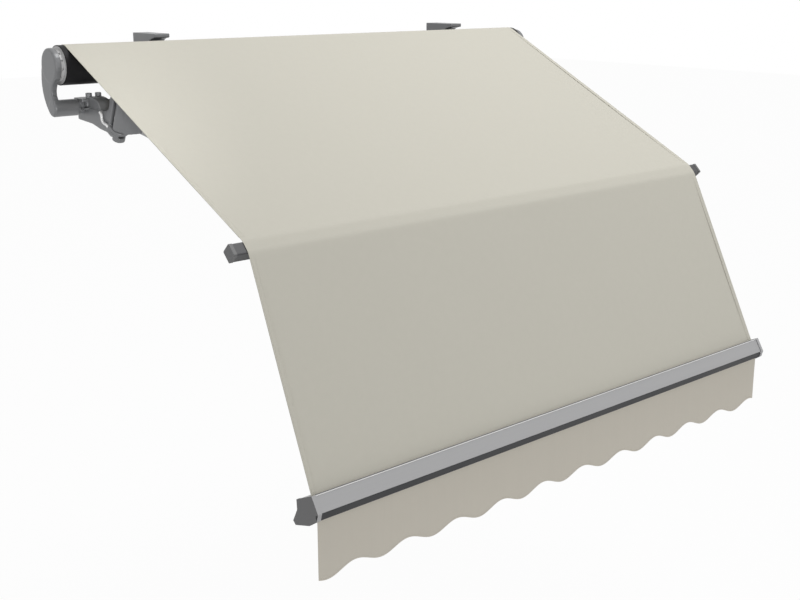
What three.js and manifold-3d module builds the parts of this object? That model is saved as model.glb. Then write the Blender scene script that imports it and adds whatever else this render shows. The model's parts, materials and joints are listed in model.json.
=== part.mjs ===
// Folding arm awning with two cloth slopes, shown fully open.
//
// Millimetres, +Z up. The wall is the plane y = 0, the awning reaches out along -Y and is seen from
// the front with +X to the right. The origin is on the wall, at the middle of the awning's length,
// level with the torsion bar.
//
// Each arm folds at a shoulder, an elbow block and a front joint. The upper arm swings in a plane
// under the upper slope of the cloth, the forearm in a plane behind the lower slope. The elbow block
// joins the two planes and carries the crease bar, which the cloth bends over, in a V-shaped saddle.

import * as THREE from 'three';
import { mergeVertices } from 'three/addons/utils/BufferGeometryUtils.js';
import Module from 'manifold-3d';

const wasm = await Module();
wasm.setup();

// Gaps, and the length of a cutting shape that has to run right through a piece. A shape that is joined
// to another or cut out of it runs 1 mm past the face they share.
const seatGap = 0.3;
const runningGap = 0.35;
const cutLength = 400;

// Cloth
const clothWidth = 2400;
const clothThickness = 2;
const upperSlope = THREE.MathUtils.degToRad(26);
const lowerSlope = THREE.MathUtils.degToRad(64);
const valanceHeight = 225;
const scallopPitch = 222;
const scallopDepth = 30;
const scallopStart = 0.33;
const scallopSteps = 8;
const rollerWrap = THREE.MathUtils.degToRad(30);

// Roller, with its axis above the torsion bar
const rollerOut = 210;
const rollerAbove = 160;
const rollerRadius = 75;
const rollerWall = 3;
const rollerMargin = 22;
const crownRadius = 60;
const crownWidth = 14;
const crownNotches = 12;
const crownNotchDepth = 7;
const kederRoomWidth = 28;
const plugDepth = 45;
const idlePinRadius = 10;
const motorHeadRadius = 30;
const motorRadius = 25;
const motorLength = 520;
const driveWheelWidth = 30;

// Keders, the beads in the cloth's hems that hold it in the slots of the roller and the bars
const kederRadius = 4;
const kederDepth = 7;
const kederBore = 4.6;
const kederSlot = 3.4;
const kederWall = 3;

// Torsion bar
const torsionSide = 40;
const torsionWall = 3;

// Roller end brackets
const endPlateThickness = 25;
const endDiscRadius = 66;
const endRim = 7;
const socketRadius = 32;
const socketFloor = 12;
const neckBow = 22;
const neckHollow = 44;
const neckWaist = 52;
const neckFront = 20;

// Wall brackets
const bracketInset = { left: 440, right: 335 };
const bracketWidth = 70;
const bracketRise = 27;
const bracketBottom = -92;
const bracketClear = 10;
const bracketLip = 56;
const bracketLipHeight = 16;
const bracketCove = 32;
const bracketArmHeight = 96;
const bracketJaw = 24;
const jawHook = 6;
const wallBoltRadius = 6.5;
const wallBoltSeat = 15;
const wallBoltTop = 62;
const wallBoltLow = 30;
const bracketWall = 8;
const bracketFillet = 40;

// Fasteners
const boltRadius = 5;
const boltHeadRadius = 9;
const boltHeadHeight = 8;

// Arms
const shoulderInset = 95;
const shoulderAlong = 315;
const armDrop = 112;
const armLength = 890;
const openAngle = THREE.MathUtils.degToRad(28);
const elbowBack = 183;
const elbowAlong = 20;
const elbowStep = 35;
const elbowUnderSaddle = 7;
const tubeHeight = 60;
const tubeWidth = 48;
const tubeWall = 2.8;
const tubeCorner = 12;
const collarLength = 14;
const webStart = 7;
const knuckleRadius = 29;
const knuckleClear = 34;
const earThickness = 13;
const earReach = 44;
const castingWidth = 68;
const elbowRoom = 100;
const elbowWidth = 60;
const pinRadius = 8;
const pinHead = 3;
const spigotLength = 60;
const tubeStart = 62;
const shoulderTubeStart = 105;
const frontKnuckleHeight = 40;
const frontKnuckleRadius = 22;
const springRadius = 16;
const springLength = 420;
const springWire = 4;
const springEnd = 12;

// Shoulder: the clamp on the torsion bar, the humped neck between two cheeks, the ears and the lug below
const clampWall = 22;
const clampUnder = 32;
const clampCapHeight = 14;
const clampCapTab = 18;
const clampBoltSpacing = 38;
const clampBoltDepth = 25;
const shoulderKnuckle = 126;
const humpHeight = 41;
const humpLength = 104;
const neckDepth = 32;
const cheekThickness = 7;
const cheekDrop = 9;
const cheekWaist = { out: 14, down: 38 };
const cheekFoot = { out: 40, down: 60 };
const skirtDrop = 22;
const lugRadius = 24;
const lugHeight = 34;
const lugSlot = { width: 26, height: 9, below: 5 };

// Crease bar
const creaseSide = 45;
const creaseWall = 2.5;
const creaseCorner = 5;
const creaseOverhang = 15;
const creaseCapThickness = 12;
const glideThickness = 4;
const saddleThickness = 10;
const saddleReach = 18;
const saddleFrontReach = 5;

// Front bar, as depth behind the cloth line and distance down the lower slope
const frontTopDown = 2;
const frontTopInset = 24;
const frontTopDepth = 63;
const frontFaceInset = 30;
const frontFaceDown = 60;
const frontGroove = 15;
const frontNoseDown = 80;
const frontNoseInset = 13;
const frontBackDepth = 76;
const frontBackDown = 34;
const frontToeDepth = 116;
const frontToeDown = 64;
const frontHeelDepth = 110;
const frontHeelDown = 78;
const frontKeelDepth = 34;
const frontKeelDown = 88;
const frontWall = 2.6;
const frontCapThickness = 10;
const frontCapProud = 1.5;
const frontPlugDepth = 18;
const frontPlugClear = 4.4;
const clothRecess = 7;
const clothRecessWidth = 16;
const frontOverhang = 6;
const footWidth = 52;
const footBack = 22;

const halfCloth = clothWidth / 2;
const halfRoller = halfCloth + rollerMargin;

// Finishes
function finish(color, roughness, metalness) {
  return new THREE.MeshStandardMaterial({ color, roughness, metalness });
}

const castGrey = finish(0x8d8f92, 0.45, 0.6);
const barGrey = finish(0xaeb0b3, 0.35, 0.7);
const capGrey = finish(0x66686b, 0.6, 0.1);
const darkSteel = finish(0x35363a, 0.5, 0.5);
const zincSteel = finish(0x9a9c9f, 0.4, 0.9);
const blackPlastic = finish(0x26272a, 0.6, 0);
const upperCloth = finish(0xcecabf, 0.9, 0);
const lowerCloth = finish(0xc6c2b7, 0.9, 0);

// Solids: a closed geometry becomes a solid, and a solid becomes a geometry again. Points that lie on
// each other are merged first, and a triangle that this flattens to a line is left out.

function solid(geometry) {
  const bare = geometry.clone();
  bare.deleteAttribute('normal');
  bare.deleteAttribute('uv');
  const merged = mergeVertices(bare, 1e-4);
  const index = merged.index.array;
  const corners = [];
  for (let i = 0; i < index.length; i += 3) {
    const [a, b, c] = index.slice(i, i + 3);
    if (a !== b && b !== c && c !== a) corners.push(a, b, c);
  }
  return new wasm.Manifold(new wasm.Mesh({
    numProp: 3,
    vertProperties: new Float32Array(merged.attributes.position.array),
    triVerts: new Uint32Array(corners),
  }));
}

function geometryOf(body) {
  const mesh = body.getMesh();
  const geometry = new THREE.BufferGeometry();
  geometry.setAttribute('position', new THREE.BufferAttribute(new Float32Array(mesh.vertProperties), 3));
  geometry.setIndex(new THREE.BufferAttribute(new Uint32Array(mesh.triVerts), 1));
  geometry.computeVertexNormals();
  return geometry;
}

// Joins the first list of geometries and cuts the second list out of them
function build(joined, cuts = []) {
  let body = solid(joined[0]);
  for (const geometry of joined.slice(1)) body = body.add(solid(geometry));
  for (const geometry of cuts) body = body.subtract(solid(geometry));
  return geometryOf(body);
}

function mirroredX(geometry) {
  const flipped = geometry.index ? geometry.clone() : mergeVertices(geometry);
  flipped.scale(-1, 1, 1);
  const index = flipped.index;
  for (let i = 0; i < index.count; i += 3) {
    const first = index.getX(i);
    index.setX(i, index.getX(i + 1));
    index.setX(i + 1, first);
  }
  return flipped;
}

const box = (x, y, z) => new THREE.BoxGeometry(x, y, z);

// A box between two values along each axis
function boxBetween(x0, x1, y0, y1, z0, z1) {
  return box(x1 - x0, y1 - y0, z1 - z0).translate((x0 + x1) / 2, (y0 + y1) / 2, (z0 + z1) / 2);
}

const rodZ = (radius, length, sides = 16) =>
  new THREE.CylinderGeometry(radius, radius, length, sides).rotateX(Math.PI / 2);

const rodY = (radius, length, sides = 16) => new THREE.CylinderGeometry(radius, radius, length, sides);

// A rod along X that starts at x0 and ends at x1
function rodX(radius, x0, x1, sides = 24) {
  return new THREE.CylinderGeometry(radius, radius, x1 - x0, sides)
    .rotateZ(Math.PI / 2)
    .translate((x0 + x1) / 2, 0, 0);
}

// An outline drawn in (y, z) and extruded along X from x0 to x1
function alongX(shape, x0, x1, curveSegments = 6) {
  const geometry = new THREE.ExtrudeGeometry(shape, { depth: x1 - x0, bevelEnabled: false, curveSegments });
  const toWorld = new THREE.Matrix4().set(0, 0, 1, x0, 1, 0, 0, 0, 0, 1, 0, 0, 0, 0, 0, 1);
  return geometry.applyMatrix4(toWorld);
}

// An outline drawn in (x, y) and extruded along Z, centred on z
function plate(shape, thickness, z = 0, curveSegments = 6) {
  return new THREE.ExtrudeGeometry(shape, { depth: thickness, bevelEnabled: false, curveSegments })
    .translate(0, 0, z - thickness / 2);
}

const outline = (points) => new THREE.Shape(points.map(([a, b]) => new THREE.Vector2(a, b)));

function roundedRectangle(width, height, radius) {
  const [w, h] = [width / 2, height / 2];
  const shape = new THREE.Shape();
  shape.absarc(w - radius, h - radius, radius, 0, Math.PI / 2);
  shape.absarc(-w + radius, h - radius, radius, Math.PI / 2, Math.PI);
  shape.absarc(-w + radius, -h + radius, radius, Math.PI, 1.5 * Math.PI);
  shape.absarc(w - radius, -h + radius, radius, 1.5 * Math.PI, 2 * Math.PI);
  shape.closePath();
  return shape;
}

// A plate outline round a hinge, with straight sides that run to y = reach
function earOutline(radius, reach) {
  const shape = new THREE.Shape();
  const ahead = Math.sign(reach);
  shape.moveTo(radius, reach);
  shape.lineTo(radius, 0);
  shape.absarc(0, 0, radius, 0, -ahead * Math.PI, ahead > 0);
  shape.lineTo(-radius, reach);
  shape.closePath();
  return shape;
}

// Moves each side of a closed outline inwards by one distance, for a counterclockwise outline
function inset(points, distance) {
  const count = points.length;
  const sides = points.map(([a, b], i) => {
    const [c, d] = points[(i + 1) % count];
    const length = Math.hypot(c - a, d - b);
    const normal = [-(d - b) / length, (c - a) / length];
    return { a: a + normal[0] * distance, b: b + normal[1] * distance, u: c - a, v: d - b };
  });
  return sides.map((side, i) => {
    const last = sides[(i + count - 1) % count];
    const cross = last.u * side.v - last.v * side.u;
    const t = ((side.a - last.a) * side.v - (side.b - last.b) * side.u) / cross;
    return [last.a + last.u * t, last.b + last.v * t];
  });
}

// Places: a slope's frame has +X along the awning, -Y down the slope and +Z out of the cloth

const awning = new THREE.Group();
awning.name = 'folding_arm_awning';

function add(group, name, geometry, material) {
  const mesh = new THREE.Mesh(geometry, material);
  mesh.name = name;
  group.add(mesh);
}

function slopeGroup(parent, slope, y, z, x = 0) {
  const group = new THREE.Group();
  group.position.set(x, y, z);
  group.rotation.x = slope;
  parent.add(group);
  return group;
}

function turnedGroup(parent, x, y, z, angle) {
  const group = new THREE.Group();
  group.position.set(x, y, z);
  group.rotation.z = angle;
  parent.add(group);
  return group;
}

// A point that lies a distance down a slope and a height over it, as world (y, z)
function onSlope([y, z], slope, down, height) {
  return [
    y - down * Math.cos(slope) - height * Math.sin(slope),
    z - down * Math.sin(slope) + height * Math.cos(slope),
  ];
}

const armReach = armLength * Math.cos(openAngle);
const upperLength = shoulderAlong + armReach + elbowBack;
const lowerLength = elbowAlong + armReach;
const rollerAxis = [-rollerOut, rollerAbove];
const rollerTurn = upperSlope - rollerWrap;
const kederRoomDepth = kederDepth + kederBore + kederWall + 3;
const clothRadius = rollerRadius + seatGap;
const clothStart = onSlope(rollerAxis, upperSlope, 0, clothRadius);
const crease = onSlope(clothStart, upperSlope, upperLength, 0);
const frontLine = onSlope(crease, lowerSlope, lowerLength, 0);

// The crease bar stands on its corner, half way between the two slopes, and the cloth rests on two corners
const creaseTurn = (upperSlope + lowerSlope) / 2;
const creaseBend = (lowerSlope - upperSlope) / 2;
const creaseDepth = (creaseSide / 2) * (1 + Math.tan(creaseBend)) + seatGap / Math.cos(creaseBend);
const creaseCentre = onSlope(crease, creaseTurn, 0, -creaseDepth);
const saddleGap = glideThickness + 2 * seatGap;
const keel = creaseSide / 2 + saddleGap + saddleThickness;

// The forearm hangs under the saddle's keel, and steps towards the middle from the upper arm's end
const forearmDrop = creaseDepth + Math.SQRT2 * keel + tubeHeight / 2 + elbowUnderSaddle;
const shoulder = onSlope(clothStart, upperSlope, shoulderAlong, -armDrop);
const elbowIn = onSlope(shoulder, upperSlope, armReach, 0);
const elbowOut = onSlope(crease, lowerSlope, elbowAlong, -forearmDrop);
const shoulderX = halfCloth - shoulderInset;
const elbowX = shoulderX - armLength * Math.sin(openAngle);
const frontJointX = shoulderX - elbowStep;

const bracketX = { left: bracketInset.left - halfCloth, right: halfCloth - bracketInset.right };
const bracketTop = rollerAbove + rollerRadius + bracketRise;
const bracketDepth = rollerOut - rollerRadius - bracketClear;
const endPlateInner = halfRoller + crownWidth + 2 * runningGap;
const endPlateOuter = endPlateInner + endPlateThickness;
const socketEnd = shoulderX + castingWidth / 2 + clampCapTab + 3;
const torsionEnd = endPlateOuter - socketFloor - 1;
const clampBoltY = -rollerOut - torsionSide / 2 - clampWall / 2 - 4;

// A keyhole along X for a keder, open towards +Z at the given height over its centre
function kederHole(half, mouth) {
  return [
    rodX(kederBore, -half, half, 20),
    boxBetween(-half, half, -kederSlot / 2, kederSlot / 2, 0, mouth),
  ];
}

// Torsion bar
function torsionBar() {
  const outer = box(2 * torsionEnd, torsionSide, torsionSide);
  const bore = torsionSide - 2 * torsionWall;
  return build([outer], [box(2 * torsionEnd + 2, bore, bore)]).translate(0, -rollerOut, 0);
}

// Wall bracket, drawn in (y, z): a tall block on the wall with a lip over the roller and an arm below it
function bracketOutline() {
  const armTop = bracketArmHeight / 2;
  const armFront = -rollerOut - torsionSide / 2;
  const lipUnder = bracketTop - bracketLipHeight;
  const shape = new THREE.Shape();
  shape.moveTo(0, bracketBottom);
  shape.lineTo(0, bracketTop);
  shape.lineTo(-bracketDepth - bracketLip, bracketTop);
  shape.lineTo(-bracketDepth - bracketLip, lipUnder);
  shape.quadraticCurveTo(-bracketDepth - 6, lipUnder - 4, -bracketDepth, lipUnder - bracketCove);
  shape.lineTo(-bracketDepth, armTop + bracketFillet);
  shape.quadraticCurveTo(-bracketDepth, armTop, -bracketDepth - bracketFillet, armTop);
  shape.lineTo(armFront, armTop);
  shape.lineTo(armFront, -armTop);
  const foot = -bracketDepth + bracketFillet / 2;
  shape.quadraticCurveTo(foot - bracketFillet, -armTop, foot, bracketBottom);
  shape.closePath();
  return shape;
}

function wallBracket() {
  const notch = torsionSide + 2 * seatGap;
  const body = alongX(bracketOutline(), -bracketWidth / 2, bracketWidth / 2);
  const barSeat = box(bracketWidth + 2, notch, notch).translate(0, -rollerOut, 0);
  const cuts = [barSeat, bracketPocket()];
  for (const z of [bracketTop - wallBoltTop, bracketBottom + wallBoltLow]) {
    cuts.push(rodY(wallBoltRadius, 2 * wallBoltSeat + 2, 20).translate(0, -wallBoltSeat, z));
    cuts.push(rodY(2 * wallBoltRadius, cutLength, 24).translate(0, -wallBoltSeat - cutLength / 2, z));
  }
  const tappedDepth = jawBoltLength - bracketJaw + 5;
  cuts.push(rodY(boltRadius + seatGap, 2 * tappedDepth, 20).translate(0, jawBack, jawBoltZ));
  return build([body], cuts);
}

// Hollow in the bracket's back, between its two wall bolts
function bracketPocket() {
  const rim = 2 * wallBoltRadius + bracketWall;
  const half = bracketWidth / 2 - bracketWall;
  return boxBetween(
    -half, half, -bracketDepth + bracketWall, 1,
    bracketBottom + wallBoltLow + rim, bracketTop - wallBoltTop - rim,
  );
}

const jawBoltZ = -(torsionSide + bracketArmHeight) / 4;
const jawBack = -rollerOut - torsionSide / 2 - seatGap;
const jawBoltLength = bracketJaw + 30;

// Jaw that closes the bracket's front over the torsion bar: a hook over the arm's top edge, a bolt below
function bracketJawPiece() {
  const half = bracketWidth / 2 - 3;
  const low = -bracketArmHeight / 2 + 4;
  const high = bracketArmHeight / 2 + jawHook;
  const body = boxBetween(-half, half, jawBack - bracketJaw, jawBack, low, high);
  const over = bracketArmHeight / 2 + seatGap;
  const hook = boxBetween(-half, half, jawBack - 1, jawBack + 2 * jawHook, over, high);
  const bore = rodY(boltRadius + seatGap, 4 * bracketJaw, 20).translate(0, jawBack, jawBoltZ);
  return build([body, hook], [bore]);
}

function bracketBolt() {
  const head = rodY(boltHeadRadius, boltHeadHeight, 6).translate(0, -boltHeadHeight / 2, 0);
  const shank = rodY(boltRadius, jawBoltLength, 16).translate(0, jawBoltLength / 2 - 1, 0);
  return build([head, shank]).translate(0, jawBack - bracketJaw - seatGap, jawBoltZ);
}

// Roller end bracket on the -X side: a disc at the roller, a neck that bends down towards the wall
// side and a round socket that takes the torsion bar's end
function neckOutline() {
  const back = -rollerOut + endDiscRadius;
  const bowed = back + neckBow;
  const low = [-rollerOut + socketRadius - 2, -socketRadius * 0.625];
  const front = -rollerOut - neckFront;
  const hollow = -rollerOut - neckHollow;
  const shape = new THREE.Shape();
  shape.moveTo(back, rollerAbove + 4);
  shape.bezierCurveTo(bowed, rollerAbove - 60, bowed, 40, ...low);
  shape.lineTo(-rollerOut - 8, -socketRadius);
  shape.lineTo(front, socketRadius * 0.8);
  shape.bezierCurveTo(front + 26, neckWaist, front + neckBow, 1.5 * neckWaist, hollow, rollerAbove - 46);
  shape.closePath();
  return shape;
}

// A disc along X whose outer rim is rounded, with its outer face at x = 0 and its body towards +X
function rimmedDisc(radius, thickness, rim) {
  const profile = [new THREE.Vector2(0, 0)];
  const steps = 3;
  for (let i = 0; i <= steps; i++) {
    const angle = ((i / steps) * Math.PI) / 2;
    profile.push(new THREE.Vector2(radius - rim + rim * Math.sin(angle), rim - rim * Math.cos(angle)));
  }
  profile.push(new THREE.Vector2(radius, thickness));
  profile.push(new THREE.Vector2(0, thickness));
  return new THREE.LatheGeometry(profile, 24).rotateZ(-Math.PI / 2);
}

function rollerEndBracket(boreRadius) {
  const disc = rimmedDisc(endDiscRadius, endPlateThickness, endRim)
    .translate(-endPlateOuter, -rollerOut, rollerAbove);
  const neck = alongX(neckOutline(), -endPlateOuter + 2, -endPlateInner, 7);
  const foot = rimmedDisc(socketRadius, endPlateOuter - socketEnd, endRim)
    .translate(-endPlateOuter, -rollerOut, 0);
  const hole = torsionSide + 2 * seatGap;
  const room = [-hole / 2, hole / 2];
  const socket = boxBetween(-endPlateOuter + socketFloor, -socketEnd + 5, ...room, ...room)
    .translate(0, -rollerOut, 0);
  const bore = rodX(boreRadius, -endPlateInner - 14, -endPlateInner + 2)
    .translate(0, -rollerOut, rollerAbove);
  return build([disc, neck, foot], [socket, bore]);
}

// Roller tube with a keder slot where the cloth leaves it
function rollerTube() {
  const outer = rodX(rollerRadius, -halfRoller, halfRoller, 48);
  const inner = rodX(rollerRadius - rollerWall, -halfRoller - 1, halfRoller + 1, 48);
  const centre = rollerRadius - kederDepth;
  const wall = rodX(kederBore + kederWall, -halfRoller, halfRoller, 20).translate(0, 0, centre);
  const hollow = solid(inner).subtract(solid(wall));
  const body = solid(outer).subtract(hollow);
  const cuts = kederHole(halfRoller + 1, 20).map((cut) => solid(cut.translate(0, 0, centre)));
  return geometryOf(cuts.reduce((rest, cut) => rest.subtract(cut), body));
}

// The room that the roller tube's keder channel needs in what fills the tube
function kederClearance(x0, x1) {
  return boxBetween(
    x0, x1, -kederRoomWidth / 2, kederRoomWidth / 2, rollerRadius - kederRoomDepth, rollerRadius,
  );
}

// Plug in the roller's end, with the notched crown that shows between the tube and the end bracket
function rollerPlug(boreRadius) {
  const crown = rodX(crownRadius, -halfRoller - crownWidth, -halfRoller - seatGap, 36);
  const insideRadius = rollerRadius - rollerWall - seatGap;
  const plugEnd = -halfRoller + plugDepth;
  const body = rodX(insideRadius, -halfRoller - 1, plugEnd, 36);
  const kederRoom = kederClearance(-halfRoller - seatGap, plugEnd + 1);
  const cuts = [rodX(boreRadius, -halfRoller - crownWidth - 1, plugEnd + 1), kederRoom];
  for (let i = 0; i < crownNotches; i++) {
    const notch = boxBetween(
      -halfRoller - crownWidth - 1, -halfRoller - crownWidth / 3,
      -crownNotchDepth / 2, crownNotchDepth / 2, crownRadius - crownNotchDepth, crownRadius + 2,
    );
    cuts.push(notch.rotateX(((i + 0.5) * 2 * Math.PI) / crownNotches));
  }
  return build([crown, body], cuts);
}

function rollerParts(group) {
  const roller = slopeGroup(group, rollerTurn, ...rollerAxis);
  add(roller, 'roller_tube', rollerTube(), darkSteel);
  add(roller, 'roller_plug_left', rollerPlug(idlePinRadius + runningGap), capGrey);
  add(roller, 'roller_plug_right', mirroredX(rollerPlug(motorHeadRadius + 1)), capGrey);
  add(roller, 'motor_drive_wheel', driveWheel(), blackPlastic);
}

// Wheel on the motor's far end that turns the tube
function driveWheel() {
  const radius = rollerRadius - rollerWall - seatGap;
  const inner = halfRoller - motorLength + 10;
  const hub = rodX(radius, inner - driveWheelWidth, inner, 36);
  const room = kederClearance(inner - driveWheelWidth - 1, inner + 1);
  return build([hub], [room, rodX(motorRadius / 2, inner - driveWheelWidth - 1, inner + 1, 24)]);
}

// Motor that stands still inside the roller: head in the end bracket, body and drive shaft in the tube
function motor() {
  const wheelFace = halfRoller - motorLength + 10;
  const bodyEnd = wheelFace + 2;
  const head = rodX(motorHeadRadius, halfRoller - 20, endPlateInner + 12);
  const body = rodX(motorRadius, bodyEnd, halfRoller - 19);
  const shaft = rodX(motorRadius / 2 - 1, wheelFace - driveWheelWidth - 4, bodyEnd + 1, 24);
  return build([head, body, shaft]).translate(0, ...rollerAxis);
}

// Cloth on the upper slope: a short wrap on the roller, then straight to the middle of the crease bar
function clothUpper() {
  const [y, z] = rollerAxis;
  const outer = clothRadius + clothThickness;
  const start = Math.PI / 2 + upperSlope;
  const wrapEnd = start - rollerWrap;
  const steps = 5;
  const under = [];
  const over = [];
  for (let i = 0; i <= steps; i++) {
    const angle = wrapEnd + ((start - wrapEnd) * i) / steps;
    under.push([y + clothRadius * Math.cos(angle), z + clothRadius * Math.sin(angle)]);
    over.push([y + outer * Math.cos(angle), z + outer * Math.sin(angle)]);
  }
  const corner = onSlope(creaseCentre, creaseTurn, -creaseSide / 2, creaseSide / 2 + seatGap);
  const middle = onSlope(creaseCentre, creaseTurn, -seatGap, creaseSide / 2 + seatGap);
  under.push(corner, middle);
  over.push(
    onSlope(corner, (upperSlope + creaseTurn) / 2, 0, clothThickness),
    onSlope(middle, creaseTurn, 0, clothThickness),
  );
  const sheet = alongX(outline([...under, ...over.reverse()]), -halfCloth, halfCloth);
  const centre = rollerRadius - kederDepth;
  const half = clothThickness / 2;
  const stem = boxBetween(-halfCloth, halfCloth, -half, half, centre, clothRadius + half);
  const bead = rodX(kederRadius, -halfCloth, halfCloth, 16).translate(0, 0, centre);
  const hem = [stem, bead].map((piece) => piece.rotateX(rollerTurn).translate(0, ...rollerAxis));
  return build([sheet, ...hem]);
}

// Cloth on the lower slope: from the middle of the crease bar into the front bar's slot
function clothLower() {
  const middle = onSlope(creaseCentre, creaseTurn, seatGap, creaseSide / 2 + seatGap);
  const corner = onSlope(creaseCentre, creaseTurn, creaseSide / 2, creaseSide / 2 + seatGap);
  const end = onSlope(frontLine, lowerSlope, topSlotDown, 0);
  const under = [middle, corner, onSlope(end, lowerSlope, 0, -clothThickness / 2)];
  const over = [
    onSlope(middle, creaseTurn, 0, clothThickness),
    onSlope(corner, (lowerSlope + creaseTurn) / 2, 0, clothThickness),
    onSlope(end, lowerSlope, 0, clothThickness / 2),
  ];
  const sheet = alongX(outline([...under, ...over.reverse()]), -halfCloth, halfCloth);
  return build([sheet, rodX(kederRadius, -halfCloth, halfCloth, 16).translate(0, ...end)]);
}

// Front bar: its frame has +Z out of the lower cloth, so depth behind the cloth is -Z and down is -Y

const topSlotDown = frontTopDown + clothRecess + kederDepth + 2;
const frontBarCorners = [
  [-frontTopDown, frontTopInset],
  [-frontFaceDown, frontFaceInset],
  [-frontFaceDown - 2, frontFaceInset - frontGroove],
  [-frontNoseDown, frontNoseInset],
  [-frontKeelDown, -frontKeelDepth],
  [-frontHeelDown, -frontHeelDepth],
  [-frontToeDown, -frontToeDepth],
  [-frontBackDown, -frontBackDepth],
  [-frontTopDown, -frontTopDepth],
];

const frontHalf = halfCloth + frontOverhang;
const valanceSlot = [-frontNoseDown + frontWall + 6.4, -2];
const bossRadius = kederBore + kederWall;
const topBossHalf = clothRecessWidth / 2 + kederWall;

function frontBar() {
  const half = frontHalf;
  const outer = solid(alongX(outline(frontBarCorners), -half, half));
  const hollow = solid(alongX(outline(inset(frontBarCorners, frontWall)), -half - 1, half + 1));
  const kederY = -topSlotDown;
  const topBoss = solid(boxBetween(
    -half, half, kederY - bossRadius, -frontTopDown, -topBossHalf, topBossHalf,
  ));
  const [slotY, slotZ] = valanceSlot;
  const bottomBoss = solid(boxBetween(
    -half, half, -frontKeelDown, slotY + bossRadius, slotZ - bossRadius, slotZ + bossRadius,
  ));
  const shell = outer.subtract(hollow).add(topBoss.intersect(outer)).add(bottomBoss.intersect(outer));
  const topSlot = kederHole(half + 1, 40).map((cut) => cut.rotateX(-Math.PI / 2).translate(0, kederY, 0));
  const bottomSlot = kederHole(half + 1, 40).map((cut) =>
    cut.rotateX(-lowerSlope + Math.PI).translate(0, slotY, slotZ));
  const recess = boxBetween(
    -half - 1, half + 1, -frontTopDown - clothRecess, 1, -clothRecessWidth / 2, clothRecessWidth / 2,
  );
  const cuts = [recess, ...topSlot, ...bottomSlot].map(solid);
  return geometryOf(cuts.reduce((rest, cut) => rest.subtract(cut), shell));
}

// End cap with a plate over the section and a plug inside it, clear of the keder bosses
function frontCap() {
  const start = -frontHalf - seatGap;
  const face = alongX(outline(inset(frontBarCorners, -frontCapProud)), start - frontCapThickness, start);
  const plugOutline = outline(inset(frontBarCorners, frontWall + 2));
  const end = start + frontPlugDepth;
  const plug = solid(alongX(plugOutline, start - 1, end));
  const [slotY, slotZ] = valanceSlot;
  const room = bossRadius + frontPlugClear;
  const topRoom = topBossHalf + 1;
  const bosses = [
    boxBetween(start, end + 1, -topSlotDown - room, 0, -topRoom, topRoom),
    boxBetween(start, end + 1, -frontKeelDown, slotY + room, slotZ - room, slotZ + room),
  ];
  const body = bosses.reduce((rest, cut) => rest.subtract(solid(cut)), plug);
  return geometryOf(solid(face).add(body));
}

// Foot on the back of the front bar, with two ears that hold the forearm's end. The hinge is level with
// the bar's top.
function frontFoot() {
  const half = footWidth / 2;
  const earZ = frontKnuckleHeight / 2 + runningGap + earThickness / 2;
  const span = earSpan(frontKnuckleHeight);
  const nearZ = -forearmDrop + span / 2;
  const back = -frontKnuckleRadius - 4;
  const outside = solid(alongX(outline(inset(frontBarCorners, -seatGap)), -footWidth, footWidth));
  const web = boxBetween(-half, half, back - footBack, back, -forearmDrop - span / 2, nearZ);
  const pad = boxBetween(-half, half, back - footBack, 10, nearZ - earThickness, -frontTopDepth - 4);
  const ears = [-1, 1].map((side) =>
    plate(earOutline(frontKnuckleRadius, back - footBack + 6), earThickness, side * earZ - forearmDrop));
  const body = [pad, ...ears].reduce((rest, piece) => rest.add(solid(piece)), solid(web)).subtract(outside);
  const room = pinRoom(span).map((cut) => cut.translate(0, 0, -forearmDrop));
  return geometryOf(room.reduce((rest, cut) => rest.subtract(solid(cut)), body));
}

// Valance: a hanging strip with a bead in its top hem, whose lower edge has shallow waves
function valance() {
  const steps = Math.round((clothWidth / scallopPitch) * scallopSteps);
  const edge = [];
  for (let i = 0; i <= steps; i++) {
    const x = (clothWidth * i) / steps;
    const wave = Math.cos(2 * Math.PI * (x / scallopPitch + scallopStart));
    edge.push([x - halfCloth, -valanceHeight + (scallopDepth * (1 + wave)) / 2]);
  }
  const sheet = plate(outline([[-halfCloth, 0], ...edge, [halfCloth, 0]]), clothThickness);
  return build([sheet.rotateX(Math.PI / 2), rodX(kederRadius, -halfCloth, halfCloth, 16)]);
}

function frontBarParts(group) {
  const bar = slopeGroup(group, lowerSlope, ...frontLine);
  add(bar, 'front_bar', frontBar(), barGrey);
  add(bar, 'front_bar_cap_left', frontCap(), capGrey);
  add(bar, 'front_bar_cap_right', mirroredX(frontCap()), capGrey);
  for (const [name, side] of [['left', -1], ['right', 1]]) {
    const foot = frontFoot().translate(side * frontJointX, 0, 0);
    const footPin = pin(earSpan(frontKnuckleHeight)).translate(side * frontJointX, 0, -forearmDrop);
    add(bar, `front_foot_${name}`, foot, castGrey);
    add(bar, `front_pin_${name}`, footPin, zincSteel);
  }
  const [slotY, slotZ] = onSlope(frontLine, lowerSlope, -valanceSlot[0], valanceSlot[1]);
  const hanging = new THREE.Group();
  hanging.position.set(0, slotY, slotZ);
  group.add(hanging);
  add(hanging, 'valance', valance(), lowerCloth);
}

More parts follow.
